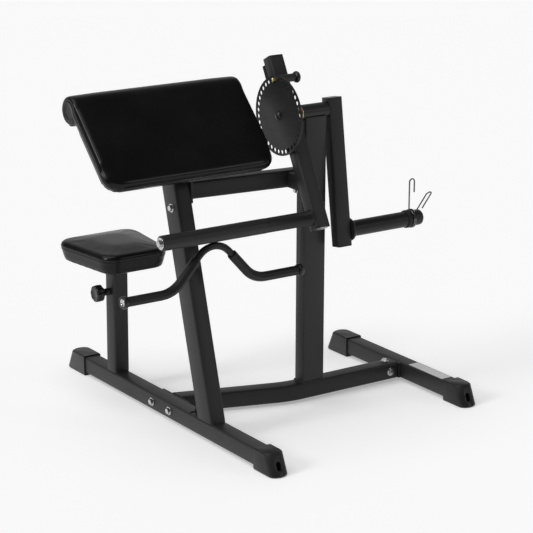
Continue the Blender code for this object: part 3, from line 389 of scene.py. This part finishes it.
def pad_seam():
    """From one roll end's round panel, down that side, across the lower edge and up."""
    rise = math.acos((PAD_SEAM - PAD_THICKNESS + ROLL_RADIUS) / ROLL_SEAM)
    side = []
    for angle in np.linspace(math.radians(262.0), -rise, 40):
        side.append((-ROLL_SEAM * math.sin(angle),
                     ROLL_SEAM * math.cos(angle) + PAD_THICKNESS - ROLL_RADIUS))
    points = [pad_point(PAD_LOW.x, down, height) for down, height in side]
    turn = np.linspace(0.0, math.pi / 2, 10)
    reach = PAD_LENGTH - PAD_CORNER
    for angle in turn:
        points.append(pad_point(PAD_LOW.x + PAD_CORNER * (1 - math.cos(angle)),
                                reach + PAD_CORNER * math.sin(angle), PAD_SEAM))
    for angle in turn[::-1]:
        points.append(pad_point(PAD_HIGH.x - PAD_CORNER * (1 - math.cos(angle)),
                                reach + PAD_CORNER * math.sin(angle), PAD_SEAM))
    points += [pad_point(PAD_HIGH.x, down, height) for down, height in reversed(side)]
    return evenly(points, 0.002)


def seat_seam():
    """Round the seat at one height, on the outline of its own top."""
    corners = [vertex.co for vertex in frame["nodes"]["seat_cushion"].data.vertices
               if vertex.co.z > SEAT_HIGH.z - 0.001]
    corners.sort(key=lambda c: math.atan2(c.y - SEAT_MIDDLE.y, c.x - SEAT_MIDDLE.x))
    height = SEAT_HIGH.z - SEAT_SEAM
    return evenly([(c.x, c.y, height) for c in corners], 0.002, closed=True)


def remeshed(node, voxel):
    """The CAD solid's surface as an even net of small squares."""
    thing = bpy.data.objects.new(node + "_net", frame["nodes"][node].data.copy())
    bpy.context.scene.collection.objects.link(thing)
    modifier = thing.modifiers.new("net", "REMESH")
    modifier.mode = "VOXEL"
    modifier.voxel_size = voxel
    net = applied(thing)
    bpy.data.objects.remove(thing)
    return net


def applied(thing):
    """A new mesh with the object's modifiers in it."""
    graph = bpy.context.evaluated_depsgraph_get()
    graph.update()
    return bpy.data.meshes.new_from_object(thing.evaluated_get(graph))


def points_of(mesh):
    points = np.empty(len(mesh.vertices) * 3)
    mesh.vertices.foreach_get("co", points)
    return points.reshape(-1, 3)


def normals_of(mesh):
    normals = np.empty(len(mesh.vertices) * 3, dtype=np.float32)
    mesh.vertex_normals.foreach_get("vector", normals)
    return normals.reshape(-1, 3).astype(float)


def move_to(mesh, points):
    mesh.vertices.foreach_set("co", np.ascontiguousarray(points).ravel())
    mesh.update()


def relaxed(mesh, share, steps):
    """Even out the surface where share is above 0, which rounds its edges."""
    ends = np.empty(len(mesh.edges) * 2, dtype=np.int64)
    mesh.edges.foreach_get("vertices", ends)
    ends = ends.reshape(-1, 2)
    points = points_of(mesh)
    count = np.bincount(ends.ravel(), minlength=len(points)).astype(float)[:, None]
    for _ in range(steps):
        total = np.zeros_like(points)
        np.add.at(total, ends[:, 0], points[ends[:, 1]])
        np.add.at(total, ends[:, 1], points[ends[:, 0]])
        points = points + (total / count - points) * 0.5 * share[:, None]
    move_to(mesh, points)


def distance_to(path, points):
    tree = KDTree(len(path))
    for index, point in enumerate(path):
        tree.insert(point, index)
    tree.balance()
    return np.array([tree.find(point)[2] for point in points])


def inflate(mesh, held):
    """Blow the skin up by cloth simulation, with the held points fixed."""
    thing = bpy.data.objects.new("skin", mesh)
    bpy.context.scene.collection.objects.link(thing)
    group = thing.vertex_groups.new(name="held")
    group.add([int(index) for index in np.nonzero(held)[0]], 1.0, "REPLACE")
    cloth = thing.modifiers.new("skin", "CLOTH")
    settings = cloth.settings
    settings.quality = 5
    settings.mass = 0.3
    settings.tension_stiffness = 12.0
    settings.compression_stiffness = 12.0
    settings.shear_stiffness = 6.0
    settings.bending_stiffness = 0.8
    settings.use_pressure = True
    settings.uniform_pressure_force = 4.0
    settings.vertex_group_mass = "held"
    settings.effector_weights.gravity = 0.0
    cloth.collision_settings.use_collision = False
    cloth.point_cache.frame_start = 1
    cloth.point_cache.frame_end = SIMULATED_FRAMES
    for number in range(1, SIMULATED_FRAMES + 1):
        bpy.context.scene.frame_set(number)
    blown = points_of(applied(thing))
    bpy.context.scene.frame_set(1)
    bpy.data.objects.remove(thing)
    return blown


def upholster(node, voxel, seam, roundings, held, shrink, limit, groove):
    """A stuffed skin on the CAD cushion's shape, with a sunk seam.

    The limit sets how far each point may rise. The cloth simulation scales it, from
    LEAST_SWELL up to LEAST_SWELL + SWELL_RANGE * SWELL_CAP.
    """
    net = remeshed(node, voxel)
    start = points_of(net)
    from_seam = distance_to(seam, start)
    bottom, pocket = held(start)
    fixed = bottom | pocket | (from_seam < 0.6 * voxel)
    relaxed(net, np.where(pocket, 0.0, 1.0), 5)
    free = np.clip((from_seam - 0.5 * voxel) / (2.0 * voxel), 0.0, 1.0)
    free[fixed] = 0.0
    for share, steps in roundings:
        relaxed(net, free * share(start), steps)
    base = points_of(net) - normals_of(net) * shrink * free[:, None]
    move_to(net, base)
    outward = normals_of(net)
    swell = np.ones(len(base))
    rise = np.sum((inflate(net.copy(), fixed) - base) * outward, axis=1)
    swell = np.clip(rise / np.percentile(rise, 90), 0.0, SWELL_CAP)
    swell = swell * SWELL_RANGE + LEAST_SWELL
    grown = base + outward * (limit(start, from_seam) * free * swell)[:, None]
    move_to(net, grown)
    relaxed(net, free, 4)
    thing = bpy.data.objects.new(node + "_fine", net)
    bpy.context.scene.collection.objects.link(thing)
    fine = thing.modifiers.new("fine", "SUBSURF")
    fine.levels = 1
    fine.render_levels = 1
    skin = applied(thing)
    bpy.data.objects.remove(thing)
    points = points_of(skin)
    surface = BVHTree.FromPolygons([Vector(point) for point in points],
                                   [tuple(face.vertices) for face in skin.polygons])
    seam_on_skin = np.array([surface.find_nearest(Vector(point))[0] for point in seam])
    near = distance_to(seam_on_skin, points)
    sink = groove * np.exp(-(near / GROOVE_WIDTH) ** 2)
    move_to(skin, points - normals_of(skin) * sink[:, None])
    return skin, seam_on_skin


def pad_inward(points):
    """How far in from the pad's outline, with its rounded lower corners."""
    down, _ = pad_coordinates(points)
    beside = np.minimum(points[:, 0] - PAD_LOW.x, PAD_HIGH.x - points[:, 0])
    below = PAD_LENGTH - down
    rounded = PAD_CORNER - np.hypot(PAD_CORNER - beside, PAD_CORNER - below)
    in_corner = (beside < PAD_CORNER) & (below < PAD_CORNER)
    return np.where(in_corner, rounded, np.minimum(beside, below))


def pad_held(points):
    """The underside, and the pocket round the board."""
    down, height = pad_coordinates(points)
    inward = pad_inward(points)
    pocket = (inward > 0.007) & (down > ROLL_RADIUS + 0.006) & (
        height < BOARD_THICKNESS + 0.002)
    underside = (down > ROLL_RADIUS * 0.6) & (height < 0.001) & (inward > 0.004)
    return underside, pocket


def pad_sides(points):
    """Round the face's sides fully, and the roll's two end rims less."""
    down, _ = pad_coordinates(points)
    return 0.35 + 0.65 * np.clip((down - 0.005) / 0.03, 0.0, 1.0)


def pad_lower_edge(points):
    down, height = pad_coordinates(points)
    return np.clip((down - PAD_LENGTH + 0.080) / 0.030, 0.0, 1.0) * (height > PAD_SEAM)


def pad_limit(points, from_seam):
    """How far the skin may move: most on the face, little on the side bands."""
    down, height = pad_coordinates(points)
    from_roll = np.hypot(down, height - PAD_THICKNESS + ROLL_RADIUS)
    above = (height > PAD_SEAM) | ((down < 0.02) & (from_roll > ROLL_SEAM))
    return np.where(above, 0.0035 + 0.0030 * np.clip(from_seam / 0.09, 0.0, 1.0), 0.0010)


def seat_held(points):
    bottom = points[:, 2] < SEAT_LOW.z + 0.001
    pocket = points[:, 2] < SEAT_LOW.z + BOARD_THICKNESS + 0.002
    outline = seat_seam()[:, :2]
    tree = KDTree(len(outline))
    for index, (x, y) in enumerate(outline):
        tree.insert((x, y, 0.0), index)
    tree.balance()
    inward = np.array([tree.find((x, y, 0.0))[2] for x, y in points[:, :2]])
    return bottom, pocket & (inward > SEAT_RIM * 0.6)


def seat_limit(points, from_seam):
    above = points[:, 2] > SEAT_HIGH.z - SEAT_SEAM
    crown = np.clip(from_seam / 0.10, 0.0, 1.0)
    return np.where(above, 0.0040 + 0.0075 * crown * (2.0 - crown), 0.0015)


def taper_seat(mesh):
    """Draw the sides in below the seam, and round the bottom edge."""
    points = points_of(mesh)
    height = points[:, 2] - SEAT_LOW.z
    drop = np.clip((SEAT_HIGH.z - SEAT_SEAM - points[:, 2])
                   / (SEAT_HIGH.z - SEAT_SEAM - SEAT_LOW.z), 0.0, 1.0)
    low = np.clip(SEAT_EDGE - height, 0.0, SEAT_EDGE)
    inset = SEAT_TAPER * drop ** 1.3 + SEAT_EDGE - np.sqrt(SEAT_EDGE ** 2 - low ** 2)
    for axis, half in ((0, (SEAT_HIGH.x - SEAT_LOW.x) / 2 * 0.9),
                       (1, (SEAT_HIGH.y - SEAT_LOW.y) / 2)):
        offset = points[:, axis] - SEAT_MIDDLE[axis]
        points[:, axis] -= offset * inset / half
    move_to(mesh, points)


SEAT_RIM = 0.019
SEAT_TAPER = 0.0075
SEAT_EDGE = 0.007


def make_cushions():
    pad_roundings = ((pad_sides, 13), (pad_lower_edge, 80))
    pad_skin, pad_line = upholster("arm_pad", 0.0045, pad_seam(), pad_roundings, pad_held,
                                   0.0030, pad_limit, 0.0020)
    seat_skin, seat_line = upholster("seat_cushion", 0.0042, seat_seam(),
                                     ((lambda points: 1.0, 18),), seat_held, 0.0030,
                                     seat_limit, 0.0018)
    taper_seat(seat_skin)
    seat_loop = np.vstack([seat_line, seat_line[:2]])
    for node, skin, fill in (("arm_pad", pad_skin, 0.85), ("seat_cushion", seat_skin, 0.8)):
        skin.shade_smooth()
        piece = new_piece(node + "_upholstery", skin, BODY_OF[node], "vinyl")
        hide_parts(node)
    face = Vector(pad_point(middle("arm_pad").x, PAD_LENGTH / 2, PAD_THICKNESS * 1.5))
    stitches("arm_pad_stitches", pad_skin, pad_line, face, "frame")
    above_seat = Vector((*SEAT_MIDDLE.xy, SEAT_HIGH.z + 0.1))
    stitches("seat_stitches", seat_skin, seat_loop, above_seat, "seat")


# ---------------------------------------------------------------- details in the mesh


def lathe(name, profile, centre, outward, sides=48, flutes=0, flute_depth=0.0):
    """A turned piece on the X axis. Profile rows are (radius, distance along the axis)."""
    shape = bmesh.new()
    rings = []
    for radius, along in profile:
        x = centre[0] + outward * along
        if radius == 0.0:
            rings.append([shape.verts.new((x, centre[1], centre[2]))])
            continue
        ring = []
        for number in range(sides):
            angle = 2 * math.pi * number / sides
            reach = radius
            if flutes and radius > 0.02:
                reach -= flute_depth * (0.5 - 0.5 * math.cos(flutes * angle)) ** 2
            ring.append(shape.verts.new((x, centre[1] + reach * math.cos(angle),
                                         centre[2] + reach * math.sin(angle))))
        rings.append(ring)
    for first, second in zip(rings, rings[1:]):
        for number in range(sides):
            after = (number + 1) % sides
            corners = [first[number % len(first)], first[after % len(first)],
                       second[after % len(second)], second[number % len(second)]]
            corners = list(dict.fromkeys(corners))
            if len(corners) > 2:
                shape.faces.new(corners)
    bmesh.ops.recalc_face_normals(shape, faces=shape.faces)
    mesh = bpy.data.meshes.new(name)
    shape.to_mesh(mesh)
    shape.free()
    mesh.shade_smooth()
    return mesh


def make_seat_knob():
    """A fluted hand knob with a dished face and a neck."""
    centre = middle("seat_knob")
    low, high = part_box("seat_knob")
    profile = [(0.0, -high.x), (0.0098, -high.x), (0.0104, 0.0040 - high.x),
               (0.0150, 0.0080 - high.x), (0.0232, 0.0110 - high.x),
               (0.0254, 0.0140 - high.x), (0.0258, 0.0220 - high.x),
               (0.0254, -low.x - 0.0060), (0.0240, -low.x - 0.0024),
               (0.0212, -low.x - 0.0004), (0.0188, -low.x), (0.0150, -low.x - 0.0018),
               (0.0, -low.x - 0.0026)]
    mesh = lathe("seat_knob_fluted", profile, (0.0, centre.y, centre.z), -1.0, 96, 8, 0.0021)
    piece = new_piece("seat_knob_fluted", mesh, BODY_OF["seat_knob"], "black_plastic")
    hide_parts("seat_knob")


def make_grip_end(side):
    """The flange on a grip's end, open in the middle, where the bar's bright plug shows."""
    node = "grip_cap_" + side
    low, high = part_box(node)
    outward = -1.0 if side == "left" else 1.0
    start = -high.x if side == "left" else low.x
    centre = (0.0, middle(node).y, middle(node).z)
    ring = [(0.0, 0.0), (0.0146, 0.0), (0.0172, 0.0014), (0.0178, 0.0050),
            (0.0175, 0.0100), (0.0162, 0.0130), (0.0142, 0.0134), (0.0126, 0.0124),
            (0.0118, 0.0100), (0.0116, 0.0088), (0.0, 0.0088)]
    mesh = lathe(node + "_flange", [(r, start + along) for r, along in ring], centre,
                 outward, 40)
    piece = new_piece(node + "_flange", mesh, BODY_OF[node], "black_plastic")
    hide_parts(node)
    plug = [(0.0, 0.0089), (0.0112, 0.0089), (0.0114, 0.0110), (0.0106, 0.0122),
            (0.0096, 0.0118), (0.0082, 0.0100), (0.0050, 0.0094), (0.0, 0.0093)]
    mesh = lathe(node + "_plug", [(r, start + along) for r, along in plug], centre,
                 outward, 36)
    new_piece(node + "_plug", mesh, BODY_OF[node], "chrome")


NOSE_LEAN = math.radians(22.4)


def cut_nose(mesh, node, height, half_width, half_height, deep):
    """An upright oval hollow in the sloping nose of a rail's foot."""
    low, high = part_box(node)
    side = -1.0 if middle(node).y < PIVOT.y else 1.0
    lean = NOSE_LEAN
    end = low.y if side < 0 else high.y
    centre = Vector((middle(node).x, end - side * height * math.tan(lean), height))
    outward = Vector((0.0, side * math.cos(lean), math.sin(lean)))
    up = Vector((0.0, -side * math.sin(lean), math.cos(lean)))
    shape = bmesh.new()
    rings = []
    for depth, grow in ((-deep, 0.0), (0.012, 0.0018)):
        ring = []
        for number in range(32):
            angle = 2 * math.pi * number / 32
            sideways = (half_width + grow) * math.cos(angle)
            rise = (half_width + grow) * math.sin(angle)
            rise += math.copysign(half_height - half_width, math.sin(angle))
            ring.append(shape.verts.new(centre + X_AXIS * sideways + up * rise
                                        + outward * depth))
        rings.append(ring)
    shape.faces.new(rings[0])
    shape.faces.new(rings[1])
    for number in range(32):
        after = (number + 1) % 32
        shape.faces.new((rings[0][number], rings[0][after], rings[1][after],
                         rings[1][number]))
    bmesh.ops.recalc_face_normals(shape, faces=shape.faces)
    cutter_mesh = bpy.data.meshes.new("nose_cutter")
    shape.to_mesh(cutter_mesh)
    shape.free()
    cutter = bpy.data.objects.new("nose_cutter", cutter_mesh)
    foot = bpy.data.objects.new("nose", mesh)
    for thing in (cutter, foot):
        bpy.context.scene.collection.objects.link(thing)
    recess = foot.modifiers.new("recess", "BOOLEAN")
    recess.operation = "DIFFERENCE"
    recess.solver = "EXACT"
    recess.object = cutter
    carved = applied(foot)
    bpy.data.objects.remove(foot)
    bpy.data.objects.remove(cutter)
    return carved


def section(node, axis, value, reach=0.004):
    """Lowest and highest corners of the node's points near one plane."""
    near = [v.co for v in frame["nodes"][node].data.vertices
            if abs(v.co[axis] - value) < reach]
    return (Vector([min(c[k] for c in near) for k in range(3)]),
            Vector([max(c[k] for c in near) for k in range(3)]))


def bead(shape, path, radius, closed):
    """A rippled weld bead along a path, added to an open mesh."""
    path = [Vector(point) for point in evenly(path, 0.0011, closed)]
    count = len(path)
    rings = []
    for number, point in enumerate(path):
        before = path[number - 1] if closed or number else path[0]
        after = path[(number + 1) % count] if closed or number + 1 < count else path[-1]
        along = (after - before).normalized()
        side = along.orthogonal().normalized()
        other = along.cross(side)
        swell = radius * (1.0 + 0.13 * math.sin(2 * math.pi * number / 4.0))
        if not closed:
            swell *= min(1.0, 0.35 + 0.3 * min(number, count - 1 - number))
        rings.append([shape.verts.new(point + (side * math.cos(a) + other * math.sin(a))
                                      * swell) for a in BEAD_ANGLES])
    pairs = list(zip(rings, rings[1:]))
    if closed:
        first, last = rings[0], rings[-1]
        shift = min(range(len(first)), key=lambda k: (first[k].co - last[0].co).length)
        pairs.append((last, first[shift:] + first[:shift]))
    else:
        shape.faces.new(rings[0][::-1])
        shape.faces.new(rings[-1])
    for first, second in pairs:
        for k in range(len(first)):
            j = (k + 1) % len(first)
            shape.faces.new((first[k], first[j], second[j], second[k]))


BEAD_ANGLES = [2 * math.pi * k / 8 for k in range(8)]
BEAD_RADIUS = 0.0026


def make_welds():
    """Beads where the posts stand on the rails, and round the beam's and upright's ends."""
    shape = bmesh.new()
    top = RAIL_TOP + 0.0004
    for post in ("seat_post", "sloping_post"):
        low, high = section(post, 2, RAIL_TOP, 0.006)
        for y in (low.y, high.y):
            bead(shape, [(low.x + 0.004, y, top), (high.x - 0.004, y, top)], BEAD_RADIUS,
                 False)
    low, high = section("upright", 2, RAIL_TOP, 0.006)
    bead(shape, [(low.x, low.y, top), (high.x, low.y, top), (high.x, high.y, top),
                 (low.x, high.y, top)], BEAD_RADIUS, True)
    for bracket, edge in (("beam_bracket_left", 1), ("beam_bracket_right", 0)):
        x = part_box(bracket)[edge].x
        low, high = section("top_beam", 0, x, 0.012)
        bead(shape, [(x, low.y, low.z), (x, high.y, low.z), (x, high.y, high.z),
                     (x, low.y, high.z)], BEAD_RADIUS * 0.9, True)
    bmesh.ops.recalc_face_normals(shape, faces=shape.faces)
    mesh = bpy.data.meshes.new("frame_welds")
    shape.to_mesh(mesh)
    shape.free()
    mesh.shade_smooth()
    new_piece("frame_welds", mesh, "frame", "powder_coat")


def make_label():
    """A blank film label on the right rail, where the real one carries print."""
    n = Nodes("label_film")
    clouds = n.noise(35.0, 3.0)
    n.bump(n.noise(900.0, 2.0), 0.00003, 0.4)
    film = n.finish(n.mix(n.ramp(clouds, 0.35, 0.7, 0.0, 1.0), (0.66, 0.66, 0.66),
                          (0.74, 0.74, 0.73)), n.ramp(clouds, 0.3, 0.7, 0.30, 0.40))
    rail = middle("right_rail")
    shape = bmesh.new()
    ring = []
    for corner, (x, y) in enumerate(((1, 1), (-1, 1), (-1, -1), (1, -1))):
        for step in range(5):
            angle = math.pi / 2 * (corner + step / 4)
            ring.append((rail.x + x * (LABEL_WIDTH / 2 - LABEL_CORNER)
                         + LABEL_CORNER * math.cos(angle),
                         LABEL_Y + y * (LABEL_LENGTH / 2 - LABEL_CORNER)
                         + LABEL_CORNER * math.sin(angle)))
    low = [shape.verts.new((x, y, RAIL_TOP + 0.00005)) for x, y in ring]
    high = [shape.verts.new((x, y, RAIL_TOP + 0.00030)) for x, y in ring]
    shape.faces.new(low)
    shape.faces.new(high)
    for k in range(len(ring)):
        j = (k + 1) % len(ring)
        shape.faces.new((low[k], low[j], high[j], high[k]))
    bmesh.ops.recalc_face_normals(shape, faces=shape.faces)
    mesh = bpy.data.meshes.new("blank_label")
    shape.to_mesh(mesh)
    shape.free()
    new_piece("blank_label", mesh, "frame", "black_plastic", film)


LABEL_Y = -0.228
LABEL_LENGTH = 0.160
LABEL_WIDTH = 0.036
LABEL_CORNER = 0.002


def stitches(name, skin, path, centre, body):
    """A row of raised thread stitches beside a seam, on the side of the face."""
    surface = BVHTree.FromPolygons([v.co for v in skin.vertices],
                                   [tuple(face.vertices) for face in skin.polygons])
    shape = bmesh.new()
    points = [Vector(point) for point in evenly(path, STITCH_PITCH)]
    for before, point, after in zip(points, points[1:], points[2:]):
        along = (after - before).normalized()
        _, normal, _, _ = surface.find_nearest(point)
        across = normal.cross(along)
        if across.dot(centre - point) < 0:
            across.negate()
        spot, normal, _, _ = surface.find_nearest(point + across * STITCH_OFFSET)
        across = normal.cross(along).normalized()
        rings = []
        for share in (-1.0, -0.75, 0.0, 0.75, 1.0):
            thick = STITCH_RADIUS * (1.0 - 0.62 * share ** 4)
            heart = spot + along * share * STITCH_LENGTH / 2
            heart += normal * STITCH_RADIUS * (0.45 - 0.9 * share ** 4)
            rings.append([shape.verts.new(heart + (across * math.cos(a)
                                                   + normal * math.sin(a)) * thick)
                          for a in STITCH_ANGLES])
        shape.faces.new(rings[0][::-1])
        shape.faces.new(rings[-1])
        for first, second in zip(rings, rings[1:]):
            for k in range(len(first)):
                j = (k + 1) % len(first)
                shape.faces.new((first[k], first[j], second[j], second[k]))
    bmesh.ops.recalc_face_normals(shape, faces=shape.faces)
    mesh = bpy.data.meshes.new(name)
    shape.to_mesh(mesh)
    shape.free()
    mesh.shade_smooth()
    new_piece(name, mesh, body, "vinyl", THREAD)


STITCH_PITCH = 0.0044
STITCH_LENGTH = 0.0034
STITCH_RADIUS = 0.00042
STITCH_OFFSET = 0.0042
STITCH_ANGLES = [2 * math.pi * k / 6 for k in range(6)]

soften_nodes()
make_seat_knob()
make_grip_end("left")
make_grip_end("right")
make_welds()
make_label()
make_cushions()

# ---------------------------------------------------------------- stage, light, camera


BACKDROP = 0.945
BACKDROP_GLOW = 0.52
BACKDROP_SIDE = (0.54, 0.80, -0.25)
FILL_LIGHT = 0.12
FLOOR_SHADE = 0.86
FLOOR_GLOW = 0.33
# Each lamp: where it stands from the machine, its spread in degrees, and its strength.
SUNS = {"overhead": ((-0.35, 0.10, 1.0), 60.0, 1.30),
        "left": ((-1.0, 0.05, 0.55), 18.0, 0.98),
        "front_right": ((0.543, -0.72, 0.36), 17.0, 0.19)}
CAMERA_PLACE = (POST_X - 2.9407, -4.7863, 2.0768)
CAMERA_TURN, CAMERA_DROP, CAMERA_ROLL = (math.radians(angle)
                                         for angle in (34.393, 16.119, 0.2527))


def make_stage():
    floor_mesh = bpy.data.meshes.new("floor")
    shape = bmesh.new()
    bmesh.ops.create_grid(shape, x_segments=1, y_segments=1, size=14.0)
    shape.to_mesh(floor_mesh)
    shape.free()
    floor = bpy.data.objects.new("floor", floor_mesh)
    bpy.context.scene.collection.objects.link(floor)
    floor.location = (0.0, 0.0, -0.0002)
    pale = bpy.data.materials.new("pale_floor")
    pale.use_nodes = True
    shader = pale.node_tree.nodes["Principled BSDF"]
    shader.inputs["Base Color"].default_value = (FLOOR_SHADE,) * 3 + (1.0,)
    shader.inputs["Emission Color"].default_value = (1.0, 1.0, 1.0, 1.0)
    shader.inputs["Emission Strength"].default_value = FLOOR_GLOW
    shader.inputs["Roughness"].default_value = 0.9
    shader.inputs["Specular IOR Level"].default_value = 0.1
    floor_mesh.materials.append(pale)

    world = bpy.data.worlds.new("studio")
    world.use_nodes = True
    tree = world.node_tree
    background = tree.nodes["Background"]
    background.inputs["Color"].default_value = (1.0, 1.0, 1.0, 1.0)
    facing = tree.nodes.new("ShaderNodeVectorMath")
    facing.operation = "DOT_PRODUCT"
    facing.inputs[1].default_value = BACKDROP_SIDE
    glow = tree.nodes.new("ShaderNodeMapRange")
    glow.interpolation_type = "SMOOTHSTEP"
    for name, value in (("From Min", 0.25), ("From Max", 0.75), ("To Min", FILL_LIGHT),
                        ("To Max", BACKDROP_GLOW)):
        glow.inputs[name].default_value = value
    sight = tree.nodes.new("ShaderNodeLightPath")
    strength = tree.nodes.new("ShaderNodeMapRange")
    strength.inputs["To Max"].default_value = BACKDROP
    place = tree.nodes.new("ShaderNodeTexCoord")
    tree.links.new(place.outputs["Generated"], facing.inputs[0])
    tree.links.new(facing.outputs["Value"], glow.inputs["Value"])
    tree.links.new(glow.outputs["Result"], strength.inputs["To Min"])
    tree.links.new(sight.outputs["Is Camera Ray"], strength.inputs["Value"])
    tree.links.new(strength.outputs["Result"], background.inputs["Strength"])
    bpy.context.scene.world = world
    bpy.context.scene.view_settings.view_transform = "Standard"


def add_sun(name, source, spread, strength):
    """A far lamp: the same light everywhere, with shadows as soft as its spread is wide."""
    data = bpy.data.lights.new(name, "SUN")
    data.angle = math.radians(spread)
    data.energy = strength
    light = bpy.data.objects.new(name, data)
    bpy.context.scene.collection.objects.link(light)
    light.rotation_euler = (-Vector(source)).to_track_quat("-Z", "Y").to_euler()
    return light


def make_camera():
    """A long lens at the front left, a little above the pads."""
    data = bpy.data.cameras.new("camera")
    data.sensor_width = 36.0
    data.lens = 138.9
    data.clip_end = 60.0
    camera = bpy.data.objects.new("camera", data)
    bpy.context.scene.collection.objects.link(camera)
    facing = Euler((math.pi / 2 - CAMERA_DROP, 0.0, -CAMERA_TURN)).to_matrix().to_4x4()
    camera.matrix_world = (Matrix.Translation(CAMERA_PLACE) @ facing
                           @ Matrix.Rotation(CAMERA_ROLL, 4, "Z"))
    bpy.context.scene.camera = camera
    return camera


make_stage()
make_camera()
for lamp, setting in SUNS.items():
    add_sun(lamp, *setting)
